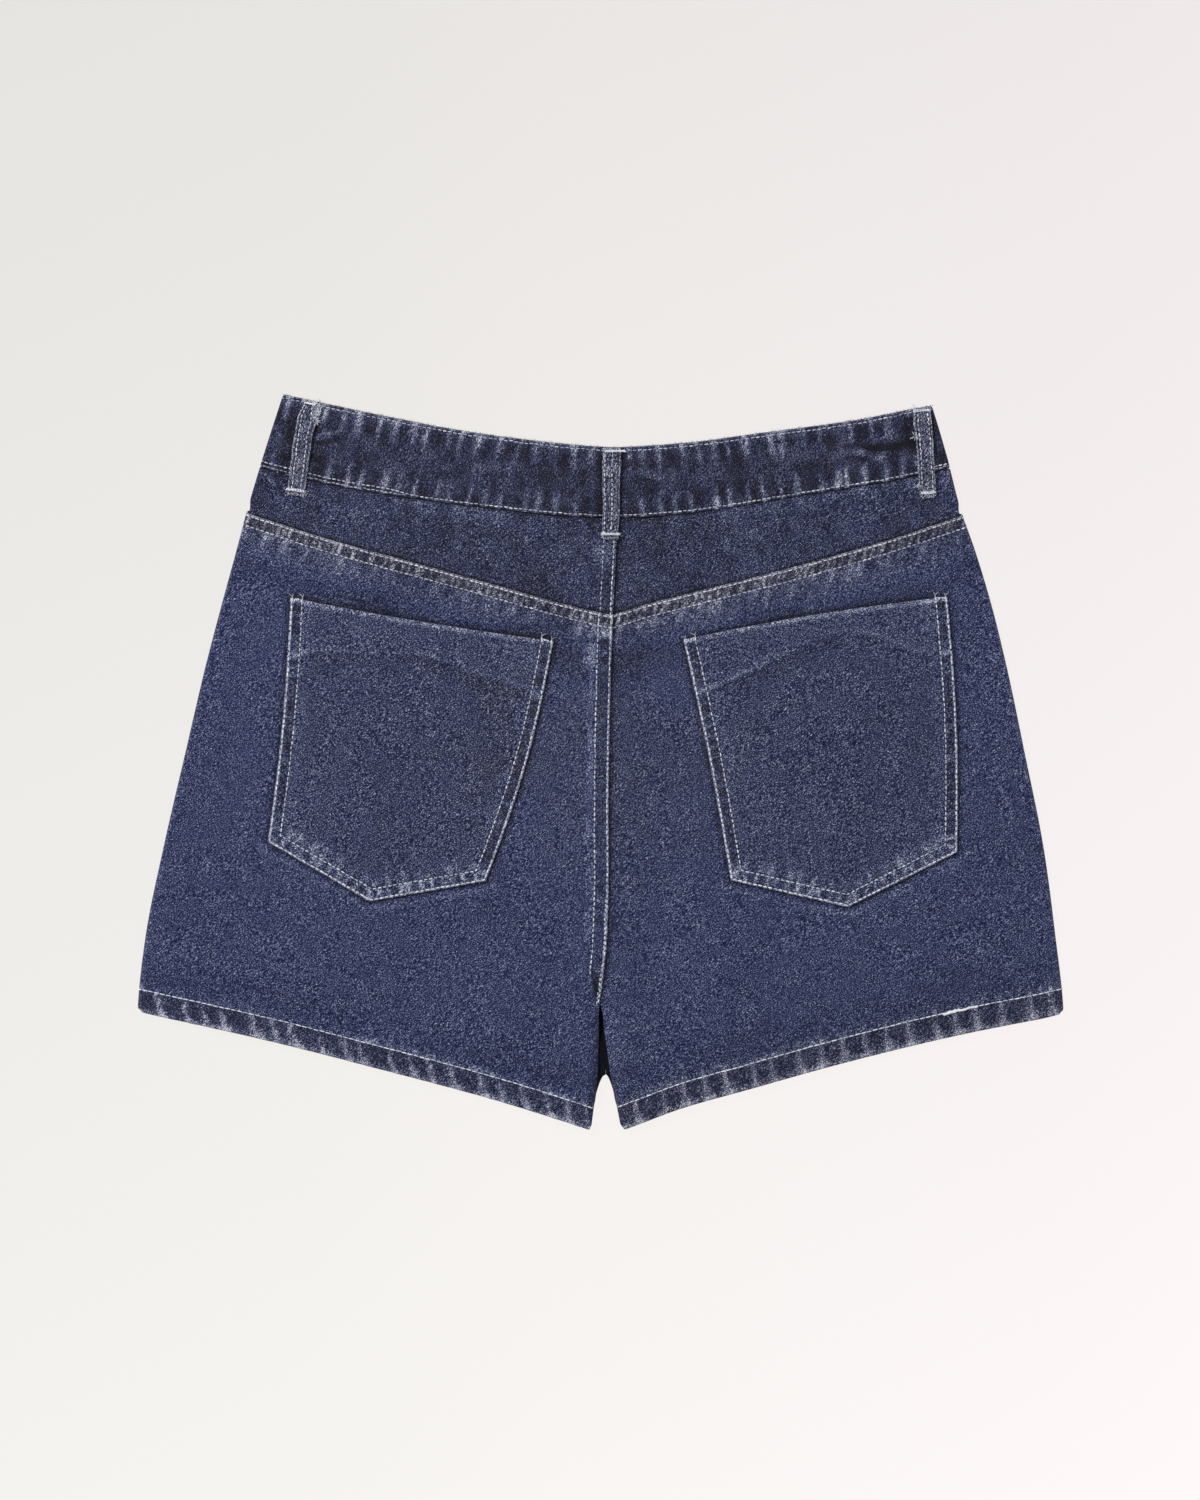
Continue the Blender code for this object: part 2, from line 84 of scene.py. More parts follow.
# Past the edge of a ply, the cloth over it is lifted as far as TOUCH or CLEAR, and down at SETTLE
TOUCH = 1 * MM
CLEAR = 1.5 * MM
SETTLE = 9 * MM
YOKE_SETTLE = 21 * MM  # the leg comes down slowly below the yoke's seam
LEG_SPAN = 60 * MM
LAP_SPREAD = 12 * MM
BAND_LAP_SPREAD = 45 * MM
LIFT_SPAN = 46 * MM
BUTTON_SPREAD = 80 * MM
LOOP_SPREAD = 25 * MM
BAND_RISE = 0.5 * MM
BAND_LAP_RISE = 1.3 * MM
BAND_RISE_SPAN = 30 * MM
UNDER_LAP = (9 * MM, 16 * MM)  # how far left the right pieces lift the left ones: fully, at all
OVER_CENTRE = (16 * MM, 10.7 * MM)  # where the yoke's lap lifts the right leg: at all, fully
LEG_ROLL_SPAN = 14 * MM

# The sides of the garment: height, left edge, right edge
SIDES = MM * np.array((
    (-160, -259.6, 259.6),
    (-138, -259.0, 259.0),
    (-97, -254.5, 254.5),
    (-47, -244.4, 247.8),
    (4, -232.6, 237.6),
    (54, -220.9, 227.1),
    (88, -212.0, 218.7),
    (121, -203.0, 208.6),
    (138, -198.5, 202.5),
    (172, -188.4, 193.5),
    (198, -180.0, 185.7),
    (215, -174.4, 180.0),
))

# The free edge of the left back leg, and the edge of the right one: height, left leg, right leg
MIDDLE = MM * np.array((
    (-210, -5.8, 12.4),
    (-175, -1.9, 5.9),
    (-155, -1.3, 3.0),
    (-140, -0.9, 0.9),
    (-127, 0.8, -2.4),
    (-110, 2.9, -5.4),
    (-78, 4.5, -4.5),
    (-22, 4.6, -4.4),
    (79, 6.9, -2.1),
    (124, 9.0, 0.0),
    (180, 9.4, 0.4),
))
CROTCH = -140 * MM
FRONT_CROTCH = -175.1 * MM
EDGE_PARTS = (CROTCH + 4 * MM, CROTCH - 8 * MM)  # where a leg's inner edge comes free
ARCH_X = 2.9 * MM
ARCH_DEPTH = 38 * MM

# Edges that run across: centre x and height, left x and height, right x and height, bend
EDGES = {
    "waist": (8, 176.8, -177.8, 204.7, 185.6, 198.5, 1.43),
    "band_seam": (8, 136.5, -190.0, 165.7, 195.4, 164.0, 1.60),
    "yoke": (6, 82.3, -197.6, 141.0, 202.2, 139.3, 1.08),
    "hem": (3.5, -208.5, -259.0, -139.6, 259.0, -139.9, 0.88),
    "skirt_hem": (0, -173.5, -256.0, -106.5, 256.0, -106.5, 1.0),
}

# How the sewn edges stray from those of the solids: x, how far up
STRAYS = {
    "yoke": MM * np.array((
        (-200, -2.0), (-155, -2.7), (-105, -1.4), (-60, -0.7), (-14, -0.7), (8, -0.3), (24, 0.8),
        (48, 0.5), (110, -1.7), (160, -2.6), (204, -1.8),
    )),
    "band_seam": MM * np.array((
        (-190, -1.2), (-153, -2.2), (-105, -1.2), (-60, -0.3), (-10, -0.6), (46, -0.1),
        (110, 1.4), (136, 1.2), (160, 0.3), (195, 0.4),
    )),
    "waist": MM * np.array((
        (-169, 0.8), (-129, 0.2), (-89, -0.7), (-40, -1.0), (19, -1.2), (58, -0.9), (80, -0.3),
        (154, -0.1), (173, 0.7),
    )),
    "hem": MM * np.array((
        (-247, -0.3), (-184, 0.5), (-120, -0.1), (-57, -0.5), (-15, -1.4), (21, -1.2), (41, 0.2),
        (82, 0.4), (133, 1.2), (206, 0.6), (247, -1.2),
    )),
}

# Patch pockets, the corners round each one from the mouth's outer end: x and height
POCKETS = {
    "left": ((-173.5, 91.6), (-26.2, 67.3), (-64.2, -67.0), (-129.1, -78.4), (-186.1, -45.0)),
    "right": ((194.0, 92.1), (46.2, 68.2), (72.8, -66.5), (138.6, -81.6), (199.6, -50.7)),
}
# How far the mouth, the outer side and the inner side bulge outwards
BOWS = {
    "left": (-1.3 * MM, -1.9 * MM, 3.9 * MM),
    "right": (2.0 * MM, 2.5 * MM, -1.2 * MM),
}
POINT_SHARE = 0.48  # where the pocket's point is across its grid

# How deep the folded-in facing reaches under each pocket's mouth: share of the mouth from its
# outer end, depth in mm
FACINGS = {
    "left": np.array(((0.0, 32), (0.15, 25.5), (0.3, 24), (0.45, 19), (0.56, 19.5), (0.7, 23.5),
                      (0.86, 28), (1.0, 32))),
    "right": np.array(((0.0, 31), (0.13, 28), (0.2, 22), (0.33, 14), (0.46, 13), (0.62, 20),
                       (0.8, 27), (1.0, 34))),
}

# How worn the cloth is over the facing's edge, and how deep the painted shade below it is: share of
# the mouth, strength
FACING_WEAR_AND_SHADE = {
    "left": np.array(((0.0, 0.9), (0.12, 1.0), (0.25, 0.2), (0.45, 0.15), (0.55, 0.6),
                      (0.68, 0.6), (0.78, 0.3), (0.88, 0.9), (1.0, 1.0))),
    "right": np.array(((0.0, 0.3), (0.12, 0.8), (0.3, 0.9), (0.42, 0.2), (0.58, 0.2),
                       (0.7, 0.9), (0.85, 1.0), (1.0, 0.9))),
}

# Belt loops on the back: x at the waist and at the lower end, its two rows of stitches, its
# width at both ends, how far its frayed edge stands out near the top, how far the other edge
# is drawn in there, and how far the loop goes past the waistband at both ends
BACK_LOOPS = {
    "left": (-163.4, -170.5, -2.6, 2.3, 10.0, 9.9, 1.5, 3.4, -0.5, 10.0),
    "centre": (6.1, 5.6, -3.7, 0.4, 10.2, 9.2, 0.5, 0.0, -0.5, 12.0),
    "right": (179.8, 183.3, -2.8, 3.2, 9.0, 9.7, -0.9, 0.0, -0.2, 13.9),
}
# The bar tacks at the top and at the lower end of each loop: how far each is off the middle,
# and its length, as shares of the loop's width
TACKS = {
    "left": ((0.05, 0.78), (-0.07, 1.05)),
    "centre": ((0.2, 1.15), (0.0, 1.2)),
    "right": ((-0.08, 0.9), (0.0, 0.85)),
}

# Rows of stitches, by their distance in mm from the edge that they hold down
YOKE_ROWS = (1.45, 7.3)
CENTRE_ROWS = (1.1, 8.0)
YOKE_CENTRE_ROWS = (1.6, 7.3)
BAND_ROWS = (2.15, 1.5)  # at the upper edge, and at the lower one
ROW_SPLIT = 1.9  # how much higher the lower edge's row is where there are two
LOW_BAND_ROW = 1.2  # the second row there
POCKET_ROWS = (0.95, 6.7)
LAP_ROW = 4.0
LEFT_CENTRE_ROW_END = -121 * MM
RIGHT_CENTRE_ROW_END = -139.5 * MM
HEM_CORNER = 1.6 * MM
SLIT_CORNERS = {-1: 2.0 * MM, 1: 3.4 * MM}
HEM_ROW = 12.0  # of the front's hems
HEM_ROWS = {-1: 12.8, 1: 14.1}  # of the back legs' hems
CROTCH_ROW = 1.95  # a second row beside the first, where the legs part
CROTCH_ROW_TOP = -76 * MM
STITCH_DIP = 0.75  # in mm, how far to the side a row of stitches draws the cloth down

# Soft ridges: x and height of both ends, half width, height of the ridge
BACK_CREASES = (
    (-120, 147, -66, 110, 8, 0.55), (-152, 122, -131, 101, 5, 0.35), (66, 118, 122, 131, 7, 0.4),
    (26, 116, 40, 90, 6, 0.3), (140, 128, 176, 140, 6, 0.35), (-228, 32, -238, -58, 10, 0.45),
    (-158, -98, -96, -152, 12, 0.5), (-62, -92, -42, -158, 9, 0.45), (52, -104, 84, -166, 11, 0.5),
    (150, -96, 214, -128, 12, 0.45), (86, -12, 117, -50, 4, 0.35), (214, 36, 238, -44, 9, 0.45),
    (-146, 16, -96, -34, 11, 0.4), (104, 28, 170, 8, 12, 0.35), (-24, 40, -17, -50, 8, 0.4),
    (24, 44, 36, -62, 8, 0.4), (-216, -84, -190, -128, 9, 0.35), (232, -70, 246, -118, 7, 0.35),
)
BAND_CREASES = (
    (-160, 181.2, -142, 183.4, 1.6, 0.95), (-157, 175.5, -140, 178.5, 2.0, 0.25),
    (132, 173.2, 157, 168.4, 1.5, 1.5), (155, 168.0, 160, 172.5, 1.4, 1.2),
    (171, 186.0, 132, 181.0, 2.6, 0.35), (14, 167.0, 38, 157.0, 1.3, 0.9),
    (94, 173.5, 112, 172.5, 1.7, 0.55), (-92, 172.0, -38, 160.0, 3.0, 0.2),
    (40, 160.0, 74, 164.0, 2.4, 0.25), (-120, 168.0, -98, 162.0, 2.4, 0.3),
    (-186, 176.5, -178.5, 171.5, 1.6, 0.6),
)
# Worn creases of the yoke
YOKE_CREASES = (
    (-192, 164, -180, 150, 1.2, 0.30), (-14, 137, -5, 130, 0.9, 0.35),
    (-22, 136, -15, 131, 0.9, 0.25), (-160, 146, -132, 138, 3.0, 0.12),
    (60, 118, 96, 126, 3.0, 0.12),
)
# Painted shade of the waistband's folds: as above, but the last number is how much darker they are
BAND_FOLD_PAINTED_SHADE = (
    (182, 182.0, 138, 176.0, 2.3, 0.30), (-163, 178.2, -146, 180.4, 1.2, 0.26),
    (-150, 187.5, -144, 180.0, 3.0, 0.08), (-160, 190.0, -158, 182.0, 3.6, 0.20),
    (174, 194.0, 172, 182.0, 3.6, 0.20), (150, 172.0, 143, 160.0, 2.0, 0.12),
    (16, 172.0, 26, 150.0, 4.0, 0.10),
)
# How worn the streaks at the waistband's edges are: x, at the upper edge, at the lower one
STREAK_WEAR = np.array((
    (-190, 1.0, 1.0), (-90, 1.0, 1.0), (-60, 0.85, 0.7), (-25, 0.65, 0.6), (6, 0.5, 0.5),
    (30, 0.85, 0.8), (55, 1.0, 1.05), (90, 0.9, 1.1), (125, 0.7, 1.1), (190, 0.7, 1.0),
))
# How worn the yoke's upper edge is: x, tone
YOKE_TOP_WEAR = np.array((
    (-190, 0.0), (-130, -0.06), (-85, 0.16), (-35, -0.10), (45, -0.05), (95, 0.12), (145, 0.24),
    (185, 0.10),
))
# Creases of the hidden front
FRONT_CREASES = (
    (-180, 60, -110, 12, 9, 0.7), (-60, 96, -104, 40, 7, 0.6), (-196, -30, -150, -86, 10, 0.8),
    (-80, -20, -52, -118, 11, 0.7), (54, 88, 112, 38, 8, 0.7), (92, 4, 128, -96, 11, 0.8),
    (176, 58, 198, -34, 9, 0.6), (206, -52, 170, -98, 8, 0.6), (-128, -64, -88, -128, 8, 0.6),
    (34, 20, 44, -84, 9, 0.5),
)

# Rows of stitches: their length, gap and radius in mm, tone, and how far they stray sideways
STITCHES = {
    "yoke_edge": (2.2, 0.7, 0.38, 0.84),
    "yoke_inner": (2.2, 0.7, 0.35, 0.75),
    "yoke_centre_edge": (2.0, 0.9, 0.38, 0.86),
    "yoke_centre_inner": (2.0, 0.9, 0.33, 0.74),
    "centre": (2.1, 0.85, 0.37, 0.84, 0.09),
    "crotch": (1.8, 0.8, 0.33, 0.78, 0.1),
    "hem": (3.3, 0.1, 0.34, 0.93, 0.06),
    "front_hem": (3.0, 0.3, 0.25, 0.7, 0.04),
    "pocket_edge": (2.2, 0.7, 0.43, 0.88),
    "pocket_inner": (2.2, 0.7, 0.36, 0.80),
    "loop": (1.9, 0.8, 0.33, 0.84, 0.12),
    "waist": (2.4, 0.5, 0.31, 0.70, 0.12),
    "band_seam": (2.2, 0.6, 0.35, 0.73, 0.1),
    "band_seam_low": (2.0, 0.5, 0.31, 0.6, 0.1),
    "lap": (2.7, 0.5, 0.27, 0.62),
}
# Frayed places of the belt loops: how far down the loop, how wide in mm, how many fibres
TUFTS = (
    ("left", 0.08, 0.6, 16), ("left", 0.17, 0.7, 20), ("left", 0.25, 0.5, 14),
    ("right", 0.33, 0.8, 16), ("right", 0.84, 1.1, 22), ("left", 0.03, 1.2, 6),
    ("right", 0.03, 1.0, 5), ("left", 0.96, 1.0, 6), ("centre", 0.93, 1.0, 4),
)
# The button's profile from the middle of its back round its rim: shares of radius and height
BUTTON_PROFILE = np.array((
    (0.0, 1.0), (0.35, 1.0), (0.35, 0.76), (0.86, 0.72), (0.95, 0.62), (1.0, 0.42), (0.985, 0.2),
    (0.94, 0.06), (0.88, 0.0), (0.82, 0.05), (0.79, 0.16), (0.74, 0.2), (0.6, 0.14),
    (0.4, 0.08), (0.2, 0.05), (0.0, 0.04),
))
BUTTON_STEPS = 64
# The denims: how pale they are, the angle of the twill, how blue they are and how speckled
DENIMS = {
    "leg": (0.239, 42.0, 35, 2.25),
    "yoke": (0.223, 44.0, 30, 2.4),
    "band": (0.214, 62.0, 26, 1.9),
    "pocket": (0.246, 40.0, 32, 2.5),
    "loop": (0.305, 66.0, 24, 2.6),
}

EDGES_OF = {"front_leg": "hem", "skirt_front": "skirt_hem"}  # each front piece's hem
SIDES_OF = {"left": -1, "right": 1}
WORDS = {side: word for word, side in SIDES_OF.items()}
OUTER_STOPS = (("outer", -5 * MM), 3, ("outer", 0))  # grid lines near the outline
TURN_STEPS = 8  # of a half turn round a side
HEM_STEPS = 6  # of a half turn round a hem
SOLVER_ROUNDS = 12  # until the grid lines have found their places


def ramp(at, start, end):
    """0 at start and 1 at end, smooth between them and level beyond."""
    t = np.clip((at - start) / (end - start), 0, 1)
    return t * t * (3 - 2 * t)


def curve(places, values, at):
    """A smooth curve through the values at rising places, read at any place."""
    slopes = np.gradient(values, places)
    at = np.clip(at, places[0], places[-1])
    i = np.clip(np.searchsorted(places, at) - 1, 0, len(places) - 2)
    step = places[i + 1] - places[i]
    t = (at - places[i]) / step
    return (
        (1 + 2 * t) * (1 - t) ** 2 * values[i]
        + t * (1 - t) ** 2 * step * slopes[i]
        + t**2 * (3 - 2 * t) * values[i + 1]
        + t**2 * (t - 1) * step * slopes[i + 1]
    )


def read(table, at, column=1):
    """A column of a table, as a smooth curve along its first column."""
    return curve(table[:, 0], table[:, column], at)


def bell(d, width):
    """1 at a distance of 0, and falling away on both sides."""
    return np.exp(-((d / width) ** 2))


def bulge(share):
    """0 at both ends of a stretch, and 1 at its middle."""
    return np.sin(math.pi * np.clip(share, 0, 1))


def side_x(y, side):
    """The garment's outline at a height: side is -1 at the left and 1 at the right."""
    return read(SIDES, y, 1 if side < 0 else 2)


def middle_x(y, side):
    """The inner edge of a back leg at a height."""
    return read(MIDDLE, y, 1 if side < 0 else 2)


def inside_outline(x, y):
    """The distance in from the nearer side of the garment."""
    return np.minimum(x - side_x(y, -1), side_x(y, 1) - x)


def edge_y(name, x, share_front=0.0):
    """The height of an edge across the garment; share_front lowers the waist to the front's."""
    *places, bend = EDGES[name]
    cx, cy, lx, ly, rx, ry = (MM * n for n in places)
    if name in ("waist", "band_seam"):
        cy = cy - FRONT_DROP * share_front
    left = x < cx
    reach = np.where(left, (x - cx) / (lx - cx), (x - cx) / (rx - cx))
    rise = np.clip(reach, 0, None) ** bend
    stray = 0.0
    if name in STRAYS:
        stray = read(STRAYS[name], x) * (1 if name == "hem" else 1 - share_front)
    return cy + np.where(left, ly - cy, ry - cy) * rise + stray


def front_lap(x, spread=LAP_SPREAD):
    """1 where the two front halves lie on each other, falling to 0 beside the lap."""
    return ramp(abs(x), FRONT_LAP / 2 + spread, FRONT_LAP / 2 + TOUCH)


def lift(x, y):
    """How far the button and the front belt loops hold the waist up off the surface."""
    from_loop = abs(abs(x) - FRONT_LOOP_X)
    button = BUTTON_LIFT * ramp(abs(x), BUTTON_SPREAD, FRONT_LAP / 2 + TOUCH)
    loops = FRONT_LOOP_LIFT * ramp(from_loop, LOOP_SPREAD, LOOP_WIDTH / 2 + TOUCH)
    down = y - edge_y("band_seam", x, 1)
    return np.maximum(button, loops) * ramp(down, -LIFT_SPAN, -LOOP_BELOW_BAND - 3 * TOUCH)


def skirt_hem_zone(x, y):
    """1 where the skirt's hem is turned in, and so is two plies thick."""
    up = y - edge_y("skirt_hem", x)
    return ramp(up, -SETTLE, -TOUCH) * ramp(up, HEM_DEPTH + SETTLE, HEM_DEPTH + CLEAR)


def skirt_plies(x, y):
    """How many plies of the skirt lie under the front legs, away from its lap."""
    return ramp(y - edge_y("skirt_hem", x), -SETTLE, -TOUCH) + skirt_hem_zone(x, y)


def front_z(x, y):
    """The middle of the front legs' cloth."""
    return CLOTH / 2 + LAYER * skirt_plies(x, y) * (1 + front_lap(x)) + lift(x, y)


def back_z(x, y):
    """The middle of the back's cloth, away from its laps."""
    low = ramp(y - edge_y("skirt_hem", x), HEM_DEPTH + LEG_SPAN, HEM_DEPTH + CLEAR)
    plies = 2 + low + front_lap(x) * skirt_plies(x, y)
    up = (y - edge_y("hem", x)) / (edge_y("yoke", x) - edge_y("hem", x))
    side = np.where(x < 0, -1, 1)
    outer = np.where(x < 0, side_x(y, -1), side_x(y, 1))
    across = (x - LOFT_STARTS * side) / (outer - LOFT_ENDS * side)
    air = bulge(across) * bulge(up)
    from_band = y - edge_y("band_seam", x)
    rise = BAND_RISE + BAND_LAP_RISE * front_lap(x, BAND_LAP_SPREAD)
    band = rise * ramp(from_band, -BAND_RISE_SPAN, -2 * TOUCH)
    return CLOTH / 2 + LAYER * plies + lift(x, y) + LOFT * air**2 + band


def under_left(x, y):
    """1 where the left pieces lie over the right ones, along the centre back."""
    beside = ramp(x, -UNDER_LAP[1], -UNDER_LAP[0])
    return beside * ramp(y, CROTCH - HEM_DEPTH, CROTCH - TOUCH)


def yoke_z(x, y, side):
    """The middle of a yoke half's cloth."""
    return back_z(x, y) + (LAYER * under_left(x, y) if side < 0 else 0)


def over_yoke(x, y):
    """1 where a leg lies on the yoke, falling to 0 further down."""
    down = edge_y("yoke", x) - y
    return ramp(down, YOKE_LAP + YOKE_SETTLE, YOKE_LAP + CLEAR)


def leg_z(x, y, side):
    """The middle of a back leg's cloth, with its laps and its rolled inner edge."""
    lap = over_yoke(x, y)
    if side < 0:
        over = under_left(x, y)
        raised = over + lap + over * lap
    else:
        raised = lap * (1 + ramp(x, *OVER_CENTRE))
    inward = abs(x - middle_x(y, side))
    rolled = ramp(y - edge_y("hem", x), HEM_DEPTH + CLEAR, HEM_DEPTH + SETTLE)
    rolled = rolled * ramp(y, CROTCH, CROTCH - HEM_DEPTH)
    short = np.clip(ROLL - inward, 0, ROLL)
    drop = ROLL - np.sqrt(ROLL**2 - short**2)
    rise = (ROLL - CLOTH / 2 + GAP / 2) * ramp(inward, LEG_ROLL_SPAN, ROLL)
    return back_z(x, y) + LAYER * raised + rolled * (rise - drop)


def yoke_tail_z(x, y):
    """Where the yoke has gone round to the front, it lies on the back leg's own wrap."""
    up = y - edge_y("yoke", x)
    return CLOTH / 2 + LAYER * ramp(up, SETTLE, CLEAR)


def leg_tail_z(x, y):
    """Where a back leg has gone round to the front, it lies on the surface."""
    return CLOTH / 2 + 0 * (x + y)


# ---------------------------------------------------------------- relief and wear


def noise(x, y, size, seed):
    """Smooth lumps of about size, between -1 and 1."""
    cells = 64
    lattice = np.random.default_rng(seed).uniform(-1, 1, (cells, cells))
    u = x / size + cells * 8
    v = y / size + cells * 8
    i = np.floor(u).astype(int)
    j = np.floor(v).astype(int)
    s = ramp(u - i, 0, 1)
    t = ramp(v - j, 0, 1)

    def along(b):
        return lattice[i % cells, b % cells] * (1 - s) + lattice[(i + 1) % cells, b % cells] * s

    return along(j) * (1 - t) + along(j + 1) * t


def blots(x, y, size, seed):
    """Smooth blots of about size, in mm, between 0 and 1."""
    return 0.5 + 0.5 * noise(x, y, size * MM, seed)


def pleats(along, spacing, width, seed, jitter=0.3, weakest=0.45):
    """Uneven ridges across a seam, 1 on a strong one and 0 between, by the place along it."""
    reach = 300 * MM
    rng = np.random.default_rng(seed)
    count = int(2 * reach / spacing)
    places = -reach + spacing * (np.arange(count) + rng.uniform(-jitter, jitter, count))
    powers = rng.uniform(weakest, 1.0, count)
    widths = rng.uniform(0.7, 1.4, count)
    after = np.clip(np.searchsorted(places, along), 1, count - 1)
    ridges = (powers[k] * bell(along - places[k], width * widths[k]) for k in (after - 1, after))
    return np.maximum(*ridges)


def creases(x, y, table):
    """Soft ridges from a table, tapered at both ends and a little bowed."""
    total = 0 * x
    for k, (x0, y0, x1, y1, half, high) in enumerate(table):
        start = MM * np.array((x0, y0))
        run = MM * np.array((x1 - x0, y1 - y0))
        length = np.hypot(*run)
        t = ((x - start[0]) * run[0] + (y - start[1]) * run[1]) / length**2
        off = ((x - start[0]) * run[1] - (y - start[1]) * run[0]) / length
        bow = (0.05 if k % 2 else -0.07) * length * (1 - (2 * np.clip(t, 0, 1) - 1) ** 2)
        taper = ramp(t, -0.12, 0.3) * ramp(t, 1.12, 0.6)
        total = total + high * MM * taper * bell(off - bow, half * MM)
    return total


def band_window(d, start, end, soft):
    """1 between two distances and 0 outside, with soft edges."""
    return ramp(d, start - soft, start + soft) * ramp(d, end + soft, end - soft)


def channel(d, rows):
    """The swelling of the cloth between two rows of stitches, 0 on each row."""
    t = np.clip((d - rows[0]) / (rows[1] - rows[0]), 0, 1)
    return np.sin(math.pi * t) ** 0.7


def groove(d, *rows):
    """How rows of stitches draw the cloth down."""
    return sum(bell(d - row, STITCH_DIP) for row in rows)


def sewn_channel(d, rows, swell, dip=0.3):
    """The relief of a seam, which swells between two rows of stitches and dips on them."""
    return MM * (channel(d, rows) * swell - dip * groove(d, *rows))


def ground(x, y):
    """Creases of the front, which lift every layer that lies on it."""
    below = edge_y("band_seam", x, 1) - y
    above = y - edge_y("skirt_hem", x)
    soft = 0.10 * MM * (1 + noise(x, y, 31 * MM, 5))
    free = ramp(inside_outline(x, y), 14 * MM, 34 * MM) * ramp(below, 16 * MM, 50 * MM)
    return free * ramp(above, 16 * MM, 34 * MM) * (soft + creases(x, y, FRONT_CREASES))


def soft_relief(x, y):
    """The back's own slack: broad lumps, fine ones, and the listed creases."""
    broad = 0.16 * MM * (1 + noise(x, y, 46 * MM, 1))
    fine = 0.05 * MM * (1 + noise(x, y, 11 * MM, 2))
    return ground(x, y) + broad + fine + creases(x, y, BACK_CREASES)


def from_middle(x, y, side):
    """In mm: how far in a piece of the back is from its edge at the centre."""
    return side * (x - middle_x(y, side)) / MM


def leg_places(x, y, side):
    """In mm: below the leg's top edge, in from its inner edge, and up from its hem, drawn in
    so that its row of stitches is at HEM_ROW."""
    below = (edge_y("yoke", x) - y) / MM
    above = (y - edge_y("hem", x)) / MM * HEM_ROW / HEM_ROWS[side]
    return below, from_middle(x, y, side), above


def centre_seam(y):
    """1 along the centre back seam, down to where the legs part."""
    return ramp(y, CROTCH + 2 * MM, CROTCH + 16 * MM)


def hem_ropes(x, above):
    """Slanting ridges round a hem: narrow at the stitches, and spread out at its lower edge."""
    low = np.clip(1 - above / HEM_ROW, 0, 1.2)
    reach = 3.0 + 1.6 * ramp(x, 0, -60 * MM)
    lean = reach * MM * low**1.7 + 0.5 * MM * noise(x, above * MM, 5 * MM, 22)
    wide = (0.95 + 2.6 * low**2.2) * MM
    return pleats(x - lean, 12.8 * MM, wide, 21, 0.2, 0.78)


def yoke_puckers(x, below):
    """The short puckers in the channel of the yoke's seam."""
    return pleats(x + 0.35 * MM * below, 3.9 * MM, 0.75 * MM, 31, 0.35, 0.4)


def yoke_folds(x, below):
    """The broader folds that run down from the yoke's seam."""
    return pleats(x + 0.3 * MM * below, 10.5 * MM, 2.4 * MM, 32)


def leg_relief(x, y, side):
    """What stands above a back leg's even form."""
    below, inward, above = leg_places(x, y, side)
    swell = 0.30 + 0.35 * yoke_puckers(x, below)
    made = soft_relief(x, y) + sewn_channel(below, YOKE_ROWS, swell)
    fold = ramp(below, YOKE_ROWS[1], YOKE_ROWS[1] + 2) * ramp(below, 25, 9)
    made += MM * 0.45 * fold * yoke_folds(x, below)
    if side < 0:
        swell = 0.28 + 0.25 * pleats(y, 9 * MM, 1.6 * MM, 33)
        ridge = bell(inward - 10.5, 2.2) * (0.7 + 0.3 * noise(x, y, 17 * MM, 3))
        made += centre_seam(y) * (sewn_channel(inward, CENTRE_ROWS, swell) + MM * 0.3 * ridge)
    ropes = 0.42 * hem_ropes(x, above) + 0.06 * noise(x, y, 4 * MM, 6)
    return made + MM * (ramp(above, 19, HEM_ROW) * ropes - 0.3 * groove(above, HEM_ROW))


def leg_tone(x, y, side):
    """The wear of a back leg, with painted shade, shadow and a highlight by its edges."""
    below, inward, above = leg_places(x, y, side)
    patchy = blots(x, y, 13, 41)
    spots = blots(x, y, 1.7, 42)
    tone = 0.012 * noise(x, y, 38 * MM, 43)
    tone += below_yoke_tone(x, y, below, patchy, spots)
    if side < 0:
        tone += left_centre_tone(y, below, inward, patchy, spots)
    else:
        # painted shadow beside the left half's edge, which lies on the right one
        tone -= centre_seam(y) * painted_lap_shadow(x, y)
        # painted highlight on the right leg's inner edge where the legs part, which faces the light
        tone += 0.05 * ramp(y, *EDGE_PARTS) * band_window(inward, 1.5, 7, 2)
    # painted shadow round the pocket, and the pale halo below it
    tone += pocket_painted_shadow_and_halo(x, y, side, patchy, spots)
    tone += hem_tone(x, y, side, above, patchy, spots)
    return tone + 0.06 * ramp(inside_outline(x, y) / MM, 3.5, 0.5)


def below_yoke_tone(x, y, below, patchy, spots):
    """A leg's turned top edge, its seam's puckered channel and folds, and painted shade below them.
    """
    outer = ramp(abs(x), 95 * MM, 125 * MM)
    tone = 0.30 * ramp(below, 2.0, 1.0) * (0.3 + spots)
    puckers = 0.95 * yoke_puckers(x, below) * (0.4 + 0.6 * spots)
    tone += band_window(below, 2.1, 6.9, 0.5) * (puckers - 0.10 - 0.06 * outer)
    ticks = pleats(x + 0.2 * MM * below, 5.2 * MM, 0.9 * MM, 35)
    worn = (0.12 + 0.36 * patchy) * yoke_folds(x, below) + 0.26 * ticks * (0.3 + 0.7 * patchy)
    mottled = 0.11 * noise(x, y, 4 * MM, 44)
    base = mottled - 0.02 - 0.05 * outer - 0.05 * ramp(x, 0, 150 * MM)
    tone += ramp(below, 7.6, 8.6) * ramp(below, 21, 9) * (base + worn * (0.4 + 0.8 * spots))
    # painted shade where the leg comes down off the yoke's seam
    tone -= 0.055 * band_window(below, 24, 38, 5)
    return tone + 0.07 * ramp(below, 44, 24) * noise(x, y, 21 * MM, 46)


